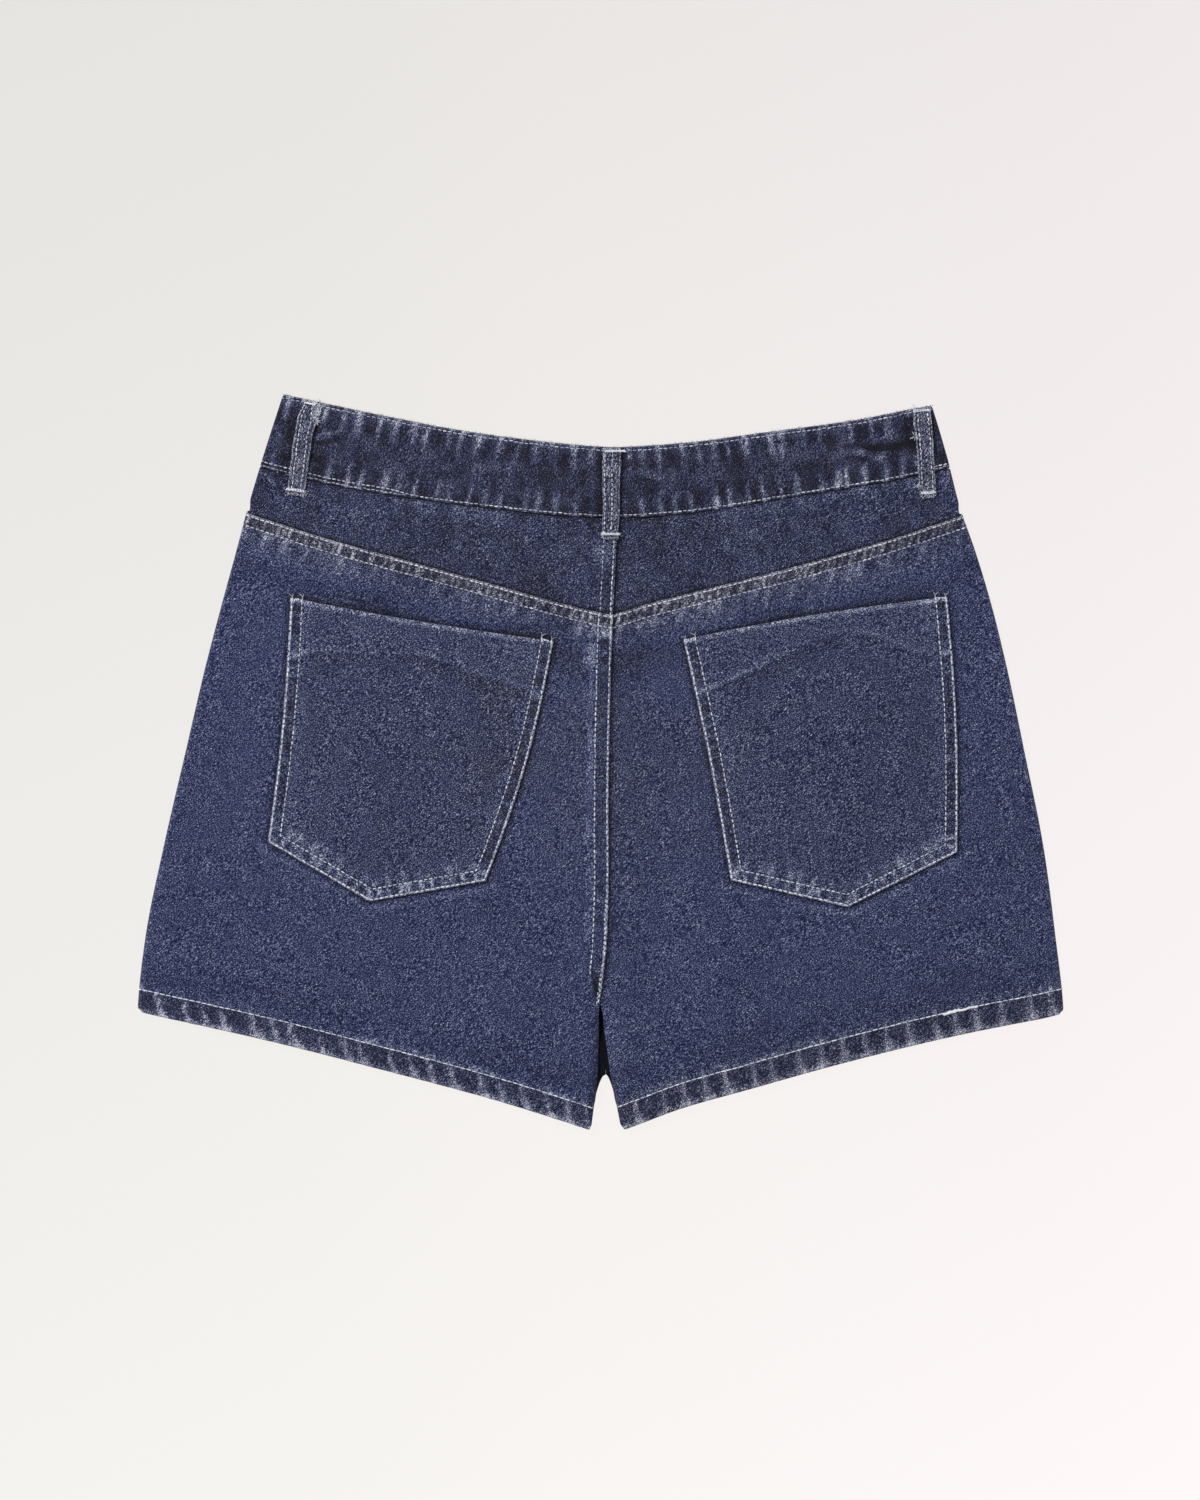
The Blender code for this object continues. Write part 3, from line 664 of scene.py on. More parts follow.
def left_centre_tone(y, below, inward, patchy, spots):
    """The left leg's edge at the centre: its lapped seam, the rolled edge under that, painted
    shade.
    """
    puckers = 0.34 * pleats(y, 8 * MM, 1.4 * MM, 33) * spots
    strip = band_window(inward, 8.8, 13.0, 1.0) * ramp(y, -118 * MM, -96 * MM)
    tone = 0.26 * ramp(inward, 2.0, 1.0) * (0.5 + spots)
    tone += band_window(inward, 2.0, 7.4, 0.5) * (puckers - 0.07)
    tone += strip * (0.02 + 0.24 * patchy * (0.4 + 0.8 * spots))
    tone *= centre_seam(y)
    # the seam's plies end a little below the yoke: a pale patch, and over it the painted shadow of
    # a fold
    patch = band_window(inward, 8.8, 15.5, 0.8) * band_window(y / MM, 53, 65, 2)
    tone += 0.30 * patch * (0.4 + 0.6 * spots)
    top = band_window(inward, 1.5, 6.5, 0.8) * band_window(below, 8.0, 13.0, 0.8)
    tone += 0.34 * top * (0.4 + spots)
    tone -= 0.20 * band_window(inward, 0, 12.0, 2.0) * band_window(below, 14.4, 16.4, 1.2)
    # the painted shadow of the fold at the crotch, and painted shade where the edge rolls in below
    # it
    inside = (y - CROTCH) * 0.31 / MM - inward
    fold = ramp(inside, -0.9, 0.3) * (0.12 + 0.26 * bell(inside, 1.5))
    fold = fold * ramp(y, CROTCH + 27 * MM, CROTCH + 18 * MM) * ramp(y, CROTCH, CROTCH + TOUCH)
    return tone - fold * ramp(inward, 1.4, 2.2) - 0.09 * ramp(y, *EDGE_PARTS) * ramp(inward, 6, 1)


def painted_lap_shadow(x, y):
    """How dark the painted shadow is on the right half beside the left one's edge, which lies on
    it.
    """
    free = (x - middle_x(y, -1)) / MM
    return 0.16 * ramp(free, 2.4, 1.0) + 0.04 * ramp(free, 7.0, 1.5)


def pocket_painted_shadow_and_halo(x, y, side, patchy, spots):
    """The painted shadow round a pocket and above its mouth, and the pale halo outside its lower
    edges.
    """
    sewn, low, mouth, _, _ = pocket_places(x, y, WORDS[side])
    near = np.minimum(sewn, mouth)
    # painted shadow round the sewn edges and above the mouth
    tone = -0.15 * ramp(near, -3.0, -1.0) * ramp(near, 3, 1)
    tone -= 0.03 * ramp(mouth, -11, -1.5) * ramp(mouth, 2, 0) * ramp(sewn, -1, 3)
    halo = band_window(-low, 2.2, 6.0, 1.0) * ramp(sewn - low, -4, -1)
    return tone + 0.22 * halo * (0.2 + 0.8 * patchy) * (0.4 + 0.7 * spots)


def hem_tone(x, y, side, above, patchy, spots):
    """A hem: dark between worn ropes, a worn lower edge, and small puckers over the stitches."""
    ropes = hem_ropes(x, above)
    worn = (0.55 + 0.16 * ramp(x, 0, -60 * MM)) * ropes * (0.5 + 0.5 * spots)
    tone = ramp(above, 12.4, 11.6) * (worn - 0.085 + 0.07 * noise(x, y, 3.2 * MM, 45))
    tone += 0.62 * ramp(above, 3.8, 0.4) * spots * (0.4 + 0.6 * patchy)
    ticks = (0.32 if side > 0 else 0.56) * pleats(x, 6.5 * MM, 1.1 * MM, 24)
    worn = 0.25 * ropes + 0.28 * patchy**2 + ticks * (0.3 + 0.7 * patchy)
    tone += ramp(above, 11.8, 12.6) * ramp(above, 17.0, 12.6) * (worn * (0.2 + spots) - 0.02)
    return tone - 0.035 * band_window(above, 13, 30, 5)


def leg_grey(x, y, side):
    """How much greyer the indigo has worn round the yoke's seam and on the hem."""
    below, _, above = leg_places(x, y, side)
    seam = 0.8 * ramp(below, 8.4, 7.2) + 0.3 * ramp(below, 7.2, 8.4) * ramp(below, 22, 12)
    hem = (0.58 if side > 0 else 0.42) * ramp(above, 12.6, 11.6)
    over = (0.2 if side > 0 else 0.0) * band_window(above, 12.1, 17.5, 0.8)
    return seam + hem + over


def yoke_relief(x, y, side):
    """What stands above a yoke half's even form."""
    above = (y - edge_y("yoke", x)) / MM
    made = soft_relief(x, y) * ramp(above, -6, 3)
    if side < 0:
        swell = 0.28 + 0.25 * pleats(y, 9 * MM, 1.6 * MM, 34)
        made += sewn_channel(from_middle(x, y, side), YOKE_CENTRE_ROWS, swell)
    return made


def yoke_tone(x, y, side):
    """The wear of a yoke half, with painted shadow along the edges that lie on it."""
    above = (y - edge_y("yoke", x)) / MM
    under_band = (edge_y("band_seam", x) - y) / MM
    patchy = blots(x, y, 12, 51)
    spots = blots(x, y, 1.7, 52)
    tone = -0.045 + 0.008 * side + 0.035 * noise(x, y, 33 * MM, 53)
    tone += 0.045 * noise(x, y, 8 * MM, 55) + 0.04 * noise(x, y, 4 * MM, 56)
    tone += 600 * creases(x, y, YOKE_CREASES) * (0.3 + spots)
    # painted shadow along the leg's edge over the yoke and under the waistband's edge
    tone -= 0.20 * ramp(above, 1.7, 0.5) + 0.10 * ramp(under_band, 2.2, 0.6)
    folds = pleats(x, 11.5 * MM, 3 * MM, 54) * (0.3 + patchy)
    speckled = 0.4 + 0.8 * spots
    tone += ramp(under_band, 15, 2.5) * (-0.015 + 0.22 * folds * speckled)
    tone += ramp(under_band, 10, 2) * read(YOKE_TOP_WEAR, x / MM) * (0.4 + 0.6 * folds) * speckled
    if side > 0:
        # painted shadow beside the left half's edge, which lies on this one
        return tone - painted_lap_shadow(x, y)
    inward = from_middle(x, y, side)
    tone += 0.24 * ramp(inward, 2.2, 1.2) * (0.3 + spots)
    puckers = 0.22 * pleats(y, 8 * MM, 1.5 * MM, 34) * spots
    tone += band_window(inward, 2.2, 6.8, 0.5) * (puckers - 0.05)
    return tone + 0.24 * bell(y - 116 * MM, 6 * MM) * band_window(inward, 1, 13, 2) * (0.3 + spots)


def band_places(x, y, share_front):
    """In mm: down from the waistband's top edge, and up from its lower one."""
    down = (edge_y("waist", x, share_front) - y) / MM
    up = (y - edge_y("band_seam", x, share_front)) / MM
    return down, up


def doubled(x):
    """1 where the waistband's lower edge has two rows of stitches, and 0 where it has one."""
    return np.maximum(ramp(x, -102 * MM, -122 * MM), 0.5 * ramp(x, 176 * MM, 184 * MM))


def band_relief(x, y, share_front):
    """What stands above the waistband's even form."""
    down, up = band_places(x, y, share_front)
    made = 0.12 * MM * (1 + noise(x, y, 23 * MM, 61)) + creases(x, y, BAND_CREASES)
    made += MM * 0.38 * ramp(down, 14, 4) * ramp(down, 1.8, 3.5) * band_streaks(x, down, 62)
    made += MM * 0.38 * ramp(up, 13, 4) * ramp(up, 1.8, 3.5) * band_streaks(x, -up, 63)
    low_row = up - ROW_SPLIT * doubled(x)
    return made - MM * 0.3 * (groove(down, BAND_ROWS[0]) + groove(low_row, BAND_ROWS[1]))


def band_streaks(x, down, seed):
    """Slanting ridges in from an edge of the waistband, by the distance down from it, in mm."""
    lean = (0.35 * ramp(x, 40 * MM, -60 * MM) - 0.12) * MM * down
    lean = lean + 0.8 * MM * noise(x, abs(down) * MM, 7 * MM, seed + 7)
    return pleats(x + lean, 9.8 * MM, 1.6 * MM, seed, 0.28, 0.5)


def band_tone(x, y, share_front):
    """The wear of the waistband, with painted shade of its folds and shadow beside the loops."""
    down, up = band_places(x, y, share_front)
    patchy = blots(x, y, 14, 65)
    spots = blots(x, y, 1.7, 66)
    speckled = 0.4 + 0.8 * spots
    tone = -0.055 + 0.11 * noise(x, y, 5 * MM, 67) + 0.045 * noise(x, y, 15 * MM, 68)
    # streaks in from both edges, and the darker cloth between them
    for column, d, seed, reach, dark, worn in (
        (1, down, 62, (18, 8), 0.08, 0.50 + 0.40 * patchy),
        (2, -up, 63, (17, 6), 0.06, 0.48 + 0.42 * patchy),
    ):
        streaks = read(STREAK_WEAR, x / MM, column) * band_streaks(x, d, seed)
        tone += ramp(abs(d), *reach) * (worn * streaks * (0.4 + 0.7 * spots) - dark)
    tone += 0.16 * ramp(down, 7.0, 2.0) * spots + 0.30 * ramp(down, 1.1, 0.4) * (0.3 + spots)
    # the worn lower edge, and a dark line between its two rows where it has two
    double = doubled(x)
    tone += ramp(up, 1.0, 0.6) * (0.04 + 0.08 * double) * speckled
    tone -= 0.08 * double * band_window(up, 1.9, 2.9, 0.3)
    # pale worn creases, and the painted shade of the waistband's folds
    tone += 230 * creases(x, y, BAND_CREASES) * speckled - creases(x, y, BAND_FOLD_PAINTED_SHADE) / MM
    # painted shadow on the cloth beside the belt loops
    for top_x, low_x, *_ in BACK_LOOPS.values():
        beside = abs(x - MM * (top_x + low_x) / 2) / MM
        tone -= 0.09 * ramp(beside, 14, 6)
    return tone


def front_tone(x, y, edge):
    """The wear of a front leg, or of half of the skirt, above its hem."""
    above = (y - edge_y(edge, x)) / MM
    spots = blots(x, y, 1.7, 72)
    tone = 0.02 * noise(x, y, 30 * MM, 71) + 60 * creases(x, y, FRONT_CREASES) * (0.5 + spots)
    ropes = hem_ropes(x, above)
    tone += ramp(above, 12.4, 11.6) * (-0.12 + 0.36 * ropes * (0.55 + 0.6 * spots))
    tone += 0.28 * ramp(above, 2.6, 0.9) * (0.25 + spots)
    return tone + ramp(above, 11.8, 12.6) * ramp(above, 18.5, 12.6) * 0.2 * ropes


# ---------------------------------------------------------------- grids


def stops(*entries):
    """Grid lines as (stop, next stop, share). An entry is a stop, (edge's name, distance past
    it), or a number of even lines between the stops before and after it."""
    lines = []
    for k, entry in enumerate(entries):
        if isinstance(entry, int):
            lines += [(entries[k - 1], entries[k + 1], (n + 1) / (entry + 1)) for n in range(entry)]
        else:
            lines.append((entry, entry, 0.0))
    return lines


def spaced(edge, start, *knots):
    """Stops past an edge, in mm, from start through each knot (distance, step to it)."""
    places = [start]
    for distance, step in knots:
        count = max(1, round(abs(distance - places[-1]) / step))
        places += list(np.linspace(places[-1], distance, count + 1)[1:])
    return tuple((edge, place * MM) for place in places)


def on_line(line, place):
    """Where a grid line is, given the place of a stop."""
    before, after, share = line
    return place(*before) * (1 - share) + place(*after) * share


def row_heights(rows, x, turned):
    """The heights of a grid's rows at x, and share turned round to the front."""
    return np.stack([
        on_line(row, lambda name, past, k=k: edge_y(name, x[k], turned) + past)
        for k, row in enumerate(rows)
    ])


def column_places(columns, stop_x, sides):
    """Where a grid's columns are across, by where their stops are."""
    return np.stack([
        on_line(column, lambda name, past, k=k: stop_x[name][:, k] + sides[k] * past)
        for k, column in enumerate(columns)
    ], axis=1)


def line_at(lines, edge, past):
    """The number of the grid line at a distance past an edge, in mm."""
    return min(
        (k for k, line in enumerate(lines) if line[0][0] == edge and line[2] == 0),
        key=lambda k: abs(lines[k][0][1] - past * MM),
    )


def round_corner(x, y, side, radius):
    """Rounds the corner between a leg's inner edge and its hem."""
    inward = 1 - side * (x - middle_x(y, side)) / radius
    above = 1 - (y - edge_y("hem", x) - HEM_START) / radius
    u, v = np.clip(inward, 0, 1), np.clip(above, 0, 1)
    return (
        x + side * radius * u * (1 - np.sqrt(1 - v * v / 2)),
        y + radius * v * (1 - np.sqrt(1 - u * u / 2)),
    )


def panel(side, columns, rows, inner, z, relief, tail_z=None, seam_gap=0.0, inset=None, corner=0.0):
    """Points of a panel, in rows from its top edge down and columns outwards from the centre.

    inner(y) is its inner edge, z(x, y) the middle of its cloth and relief(x, y) what stands
    above that. With tail_z, it goes on round the side in a half turn, to lie at that height on
    the front. Without, it ends seam_gap short of where a panel that does so ends."""
    turns = [0.0] * len(columns)
    wraps = [0.0] * len(columns)
    if tail_z:
        tail = [0.4 * SIDE_WRAP, SIDE_WRAP - 1.2 * MM, SIDE_WRAP - 0.4 * MM, SIDE_WRAP]
        turns += [math.pi * (k + 1) / TURN_STEPS for k in range(TURN_STEPS)] + [math.pi] * len(tail)
        wraps += [0.0] * TURN_STEPS + tail
        columns = columns + [columns[-1]] * (TURN_STEPS + len(tail))
    turns, wraps = np.array(turns), np.array(wraps)
    turned = (1 - np.cos(turns)) / 2 if tail_z else 1 + 0 * turns
    x = np.full((len(rows), len(columns)), side * 100 * MM)
    for _ in range(SOLVER_ROUNDS):
        y = row_heights(rows, x, turned)
        rim = side_x(y, side)
        if tail_z:
            rim = rim - side * (inset(rim, y) if inset else 0)
            radius = (z(rim, y) - tail_z(rim, y)) / 2
            flat_end = rim - side * (radius + CLOTH / 2)
        else:
            near_yoke = ramp(abs(y - edge_y("yoke", rim)), YOKE_LAP + SETTLE, YOKE_LAP + TOUCH)
            radius = (back_z(rim, y) + LAYER * near_yoke - CLOTH / 2) / 2
            flat_end = rim - side * (radius + CLOTH / 2 + SIDE_WRAP + seam_gap)
        stop_x = {"inner": inner(y), "centre": 0 * y, "outer": flat_end}
        flat_x = column_places(columns, stop_x, [side] * len(columns))
        x = flat_x + side * (radius * np.sin(turns) - wraps)
    if corner:
        x, y = round_corner(x, y, side, corner)
    stands = relief(flat_x, y)
    if tail_z:
        near_side = side * (flat_end - flat_x)
        stands *= (1 - turned) * (0.25 + 0.75 * ramp(near_side, 0, 14 * MM))
        stands -= 2 * turned * radius
    return np.stack([x, y, z(flat_x, y) + stands], axis=2)


def normals(points, side):
    """The directions out of a panel's face at each of its points."""
    across = np.gradient(points, axis=1)
    down = np.gradient(points, axis=0)
    out = -side * np.cross(across, down)
    return out / np.maximum(np.linalg.norm(out, axis=2, keepdims=True), 1e-12)


def with_hem(points, side, turned_rows):
    """The panel with its lower edge turned in: a half round, and then the last rows again
    one layer further in. For a panel that faces down, side is given the other way round."""
    hem = points[-turned_rows:]
    out = normals(hem, side)
    down = unit(points[-1] - points[-2])
    rows = [points]
    for k in range(1, HEM_STEPS):
        angle = math.pi * k / HEM_STEPS
        fold = down * math.sin(angle) - out[-1] * (1 - math.cos(angle))
        rows.append((points[-1] + FOLD * fold)[None])
    return np.concatenate([*rows, (hem - 2 * FOLD * out)[::-1]])


# ---------------------------------------------------------------- meshes


def new_object(name, data):
    """A new object in the scene."""
    made = bpy.data.objects.new(name, data)
    bpy.context.scene.collection.objects.link(made)
    return made


def make_piece(name, points, faces, materials, slot, marks=None, **shades):
    """A mesh object that rides on the garment. marks gives each face's material number, and
    shades what each point's tone is, and how grey it is."""
    mesh = bpy.data.meshes.new(name)
    mesh.from_pydata(points.tolist(), [], faces)
    mesh.polygons.foreach_set("use_smooth", [True] * len(mesh.polygons))
    for material in materials:
        mesh.materials.append(material)
    if marks is not None:
        mesh.polygons.foreach_set("material_index", marks)
    for label, values in shades.items():
        field = mesh.attributes.new(label, "FLOAT", "POINT")
        field.data.foreach_set("value", np.asarray(values, np.float32).ravel())
    mesh.update()
    made = new_object(name, mesh)
    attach(made, "root")
    return made


def unit(vectors):
    """The vectors, each drawn to a length of 1."""
    return vectors / np.linalg.norm(vectors, axis=-1, keepdims=True)


def lengths_along(path, axis=0):
    """The length of a path up to each of its points."""
    steps = np.linalg.norm(np.diff(path, axis=axis), axis=-1)
    return np.insert(np.cumsum(steps, axis=axis), 0, 0, axis=axis)


def at_lengths(at, arc, path):
    """The places on a path at some lengths along it."""
    return np.stack([np.interp(at, arc, path[:, k]) for k in range(3)], axis=-1)


class Cloth:
    """A cloth as a grid of points through its middle, with the directions out of its face.
    rows and columns are the grid lines, as stops() gives them."""

    def __init__(self, points, side, wall=CLOTH, rows=(), columns=()):
        self.points = points
        self.out = normals(points, side)
        self.side = side
        self.wall = wall
        self.rows = rows
        self.columns = columns
        self.back = slice(None)  # the columns that lie across the garment's back

    def thickness(self):
        """Half the wall at each point: full inside and rounded off towards the edges."""
        left = lengths_along(self.points, 1)
        top = lengths_along(self.points, 0)
        edge = np.minimum(np.minimum(left, left[:, -1:] - left), np.minimum(top, top[-1:] - top))
        half = self.wall / 2
        inside = np.clip(edge / half, 0, 1)
        return half * np.sqrt(1 - (1 - inside) ** 2)

    def shell(self, name, cut, materials, *under, **shades):
        """The closed shell that stands for a node, its face in the first material and its inside in
        the last. The cut and the nodes under it are not used."""
        rows, columns = self.points.shape[:2]
        half = self.thickness()[..., None]
        face = (self.points + half * self.out).reshape(-1, 3)
        number = np.arange(rows * columns).reshape(rows, columns)
        within = np.zeros((rows, columns), bool)
        within[1:-1, 1:-1] = True
        behind = number.copy()
        behind[within] = rows * columns + np.arange(within.sum())
        back = (self.points - half * self.out)[within]

        def quads(grid, turn):
            corners = [grid[:-1, :-1], grid[:-1, 1:], grid[1:, 1:], grid[1:, :-1]]
            return np.stack([c.ravel() for c in corners[::turn]], axis=1)

        faces = np.concatenate([quads(number, -self.side), quads(behind, self.side)])
        marks = np.repeat([0, len(materials) - 1], len(faces) // 2)
        shades = {k: np.concatenate([v.ravel(), v[within]]) for k, v in shades.items()}
        points = np.concatenate([face, back])
        piece = f"{name}_cloth"
        made = make_piece(piece, points, faces.tolist(), materials, "denim", marks, **shades)
        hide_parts(name)

    def row(self, edge, past, start=0, end=None):
        """A line along a grid row, on the face, with its directions out."""
        k = line_at(self.rows, edge, past)
        return self.line((k, slice(start, end)))

    def column(self, edge, past, lowest=-1.0, highest=1.0):
        """A line down a grid column, between two heights."""
        k = line_at(self.columns, edge, past)
        y = self.points[: len(self.rows), k, 1]
        chosen = np.flatnonzero((y >= lowest) & (y <= highest))
        return self.line((slice(chosen[0], chosen[-1] + 1), k))

    def line(self, index):
        """Points of the face, with their directions out."""
        return self.points[index] + self.out[index] * self.wall / 2, self.out[index]

    def at_heights(self, columns, height):
        """A line across the columns of a slice, at height(x) on each."""
        face, out = self.line((slice(None), columns))
        path, outs = [], []
        for k in range(face.shape[1]):
            under = height(face[:, k, 0]) - face[:, k, 1]
            row = np.interp(0, under, np.arange(len(under)))
            i = min(int(row), len(under) - 2)
            path.append(face[i, k] + (face[i + 1, k] - face[i, k]) * (row - i))
            outs.append(out[i, k])
        return np.array(path), np.array(outs)


def tubes(paths, outs, radii, sides):
    """Closed round tubes, one for each path (tube, place, xyz), as (points, faces)."""
    along = unit(np.gradient(paths, axis=1))
    across = unit(np.cross(outs, along))
    up = np.cross(along, across)
    angle = 2 * math.pi * np.arange(sides) / sides
    ring = np.cos(angle)[:, None] * across[:, :, None] + np.sin(angle)[:, None] * up[:, :, None]
    points = paths[:, :, None] + radii[:, :, None, None] * ring
    count, places = paths.shape[:2]
    number = np.arange(count * places * sides).reshape(count, places, sides)
    turned = np.roll(number, -1, axis=2)
    corners = [number[:, :-1], turned[:, :-1], turned[:, 1:], number[:, 1:]]
    quads = np.stack(corners, axis=-1).reshape(-1, 4)
    caps = np.concatenate([number[:, 0, ::-1], number[:, -1]])
    return points.reshape(-1, 3), quads.tolist() + caps.tolist()


class Thread:
    """Sewing and loose threads that end up in one mesh."""

    def __init__(self, seed):
        self.rng = np.random.default_rng(seed)
        self.points = []
        self.faces = []
        self.tones = []
        self.count = 0

    def add(self, paths, outs, radii, tones, sides=6):
        """Tubes along paths, each of one tone."""
        points, faces = tubes(paths, outs, radii, sides)
        self.points.append(points)
        self.faces += [[corner + self.count for corner in face] for face in faces]
        self.tones.append(np.repeat(tones, paths.shape[1] * sides))
        self.count += len(points)

    def sew(self, line, length, gap, radius, tone, stray=0.07):
        """A row of stitches along a line: each rises out of the cloth and goes back into it.
        Lengths are in mm."""
        path, out = line
        arc = lengths_along(path)
        pitch = (length + gap) * MM
        count = int(arc[-1] / pitch)
        if count < 1:
            return
        starts = pitch * (np.arange(count) + 0.1) + self.rng.uniform(-0.1, 0.1, count) * MM
        share = np.linspace(0, 1, 6)
        at = starts[:, None] + length * MM * share
        paths = at_lengths(at, arc, path)
        outs = at_lengths(at, arc, out)
        rise = bulge(share)
        height = MM * (-0.22 + (0.36 + self.rng.uniform(-0.05, 0.05, count)[:, None]) * rise**0.6)
        sideways = MM * self.rng.normal(0, stray, (count, 1)) + MM * self.rng.normal(
            0, stray / 2, (count, 1)
        ) * (share - 0.5)
        across = np.cross(outs, unit(np.gradient(paths, axis=1)))
        paths = paths + height[..., None] * outs + sideways[..., None] * across
        radii = radius * MM * (0.6 + 0.4 * rise**0.5) * self.rng.uniform(0.88, 1.12, (count, 1))
        self.add(paths, outs, radii, tone + self.rng.normal(0, 0.12, count))

    def lay(self, points, radius, tone, sides=5):
        """One thread through given points, its radius in mm."""
        points = np.array(points, float)
        count = 4 * (len(points) - 1) + 1
        at = np.linspace(0, 1, count)
        places = np.linspace(0, 1, len(points))
        path = np.stack([curve(places, points[:, k], at) for k in range(3)], axis=1)
        out = np.zeros_like(path)
        out[:, 2] = 1
        out[:, 0] = 0.01
        ends = np.minimum(at, 1 - at) * count
        radii = radius * MM * (0.45 + 0.55 * np.clip(ends / 1.5, 0, 1))
        self.add(path[None], out[None], radii[None], np.array([tone]), sides)

    def bar_tack(self, centre, along, across, width, depth, radius):
        """Two uneven threads with short bright stitches over them. along and across are
        directions, and the radius is in mm."""
        centre, along, across = (np.array(v, float) for v in (centre, along, across))
        up = np.cross(along, across)
        up *= np.sign(up[2])

        def place(share, off, high):
            return centre + along * width * share + across * depth * off + up * high * MM

        for middle in (-0.3, 0.3):
            offs = middle + self.rng.uniform(-0.25, 0.25, 5)
            shares = np.array((-0.5, -0.25, 0.0, 0.25, 0.5)) + self.rng.uniform(-0.05, 0.05, 5)
            self.lay([place(s, o, 0.12) for s, o in zip(shares, offs)], radius, 0.85)
        count = max(3, round(width / (1.5 * MM)))
        for share in np.linspace(-0.44, 0.44, count) + self.rng.uniform(-0.04, 0.04, count):
            ends = self.rng.uniform(0.5, 1.0, 2)
            low = place(share - 0.02, -ends[0], 0.05)
            high = place(share + 0.05, ends[1], 0.05)
            self.lay([low, place(share, 0.0, 0.4), high], 0.85 * radius, 1.0)

    def tuft(self, centre, count, length, spread, tone, radius):
        """A tangle of short loose fibres, its lengths in mm."""
        centre = np.array(centre, float)
        for _ in range(count):
            start = centre + MM * np.append(self.rng.normal(0, spread, 2), 0.1)
            angle = self.rng.uniform(0, 2 * math.pi)
            points = [start]
            for _ in range(3):
                angle += self.rng.normal(0, 0.9)
                step = np.array((math.cos(angle), math.sin(angle))) * length / 3
                points.append(points[-1] + MM * np.append(step, self.rng.uniform(-0.05, 0.25)))
            self.lay(points, radius, tone + self.rng.normal(0, 0.12), 4)

    def fringe(self, path, towards, count, length, tone):
        """Short fibres that stand off a path, in the direction towards, up to a length in mm."""
        arc = lengths_along(path)
        root = at_lengths(np.sort(self.rng.uniform(0, arc[-1], count)), arc, path)
        lean = unit(self.rng.normal(0, 0.55, (count, 3)) * (1, 0.3, 0.5) + towards)
        bend = self.rng.normal(0, 0.35, (count, 3)) * (1, 0.3, 0.6)
        share = np.linspace(0, 1, 4)[None, :, None]
        reach = length * MM * self.rng.uniform(0.35, 1.0, (count, 1, 1))
        paths = root[:, None] + reach * (share * lean[:, None] + share**2 * bend[:, None])
        outs = np.broadcast_to(np.array((0.3, 0.1, 1.0)), paths.shape)
        radii = 0.07 * MM * np.broadcast_to(np.array((1, 1, 0.8, 0.35)), paths.shape[:2])
        self.add(paths, outs, radii, tone + self.rng.normal(0, 0.16, count), 3)

    def finish(self, name, material):
        """The mesh of all that was added."""
        points = np.concatenate(self.points)
        tones = np.clip(np.concatenate(self.tones), 0, 1)
        make_piece(name, points, self.faces, [material], "thread", tone=tones)


# ---------------------------------------------------------------- materials


def linear(red, green, blue):
    """A screen colour, 0 to 255, as the linear colour that a shader takes."""
    return tuple(((c / 255 + 0.055) / 1.055) ** 2.4 for c in (red, green, blue)) + (1.0,)


def node(tree, kind, inputs=(), **settings):
    """A new node. An input is a value, or a socket to link."""
    made = tree.nodes.new(kind)
    for name, value in settings.items():
        setattr(made, name, value)
    for name, value in dict(inputs).items():
        if isinstance(value, bpy.types.NodeSocket):
            tree.links.new(value, made.inputs[name])
        else:
            made.inputs[name].default_value = value
    return made


def maths(tree, operation, a, b=0.0, c=0.0, clamp=False):
    """A sum of up to three values."""
    inputs = {0: a, 1: b, 2: c}
    made = node(tree, "ShaderNodeMath", inputs, operation=operation, use_clamp=clamp)
    return made.outputs[0]


def stirred(tree, value, lumps, strength):
    """A value, raised and lowered by noise about its middle."""
    lumps = maths(tree, "SUBTRACT", lumps, 0.5)
    return maths(tree, "MULTIPLY_ADD", lumps, strength, value)


def attribute(tree, name):
    """A number that a piece carries at each of its points."""
    return node(tree, "ShaderNodeAttribute", attribute_name=name).outputs["Fac"]


def colours(tree, value, shades):
    """A colour ramp through (place, screen colour)."""
    made = node(tree, "ShaderNodeValToRGB", {"Fac": value})
    band = made.color_ramp
    for k, (place, colour) in enumerate(shades):
        element = band.elements[k] if k < 2 else band.elements.new(place)
        element.position = place
        element.color = linear(*colour)
    return made.outputs["Color"]


def mixed(tree, factor, a, b):
    """From colour a to colour b by a factor."""
    made = node(tree, "ShaderNodeMix", {"Factor": factor}, data_type="RGBA")
    for name, value in (("A", a), ("B", b)):
        socket = [s for s in made.inputs if s.name == name and s.type == "RGBA"][0]
        if isinstance(value, bpy.types.NodeSocket):
            tree.links.new(value, socket)
        else:
            socket.default_value = value
    return [s for s in made.outputs if s.type == "RGBA"][0]


def new_material(name, roughness, sheen=0.0, specular=0.3, metallic=0.0):
    """An empty material and its tree, with the even values on its shader."""
    made = bpy.data.materials.new(name)
    made.use_nodes = True
    values = {"Roughness": roughness, "Sheen Weight": sheen, "Sheen Roughness": 0.5,
              "Specular IOR Level": specular, "Metallic": metallic}
    for label, value in values.items():
        made.node_tree.nodes["Principled BSDF"].inputs[label].default_value = value
    return made, made.node_tree


def paint(tree, colour, height, strength, distance):
    """Gives the shader its colour, and bumps by a height, at most a distance in mm."""
    shader = tree.nodes["Principled BSDF"]
    tree.links.new(colour, shader.inputs["Base Color"])
    inputs = {"Height": height, "Strength": strength, "Distance": distance * MM}
    bump = node(tree, "ShaderNodeBump", inputs)
    tree.links.new(bump.outputs["Normal"], shader.inputs["Normal"])


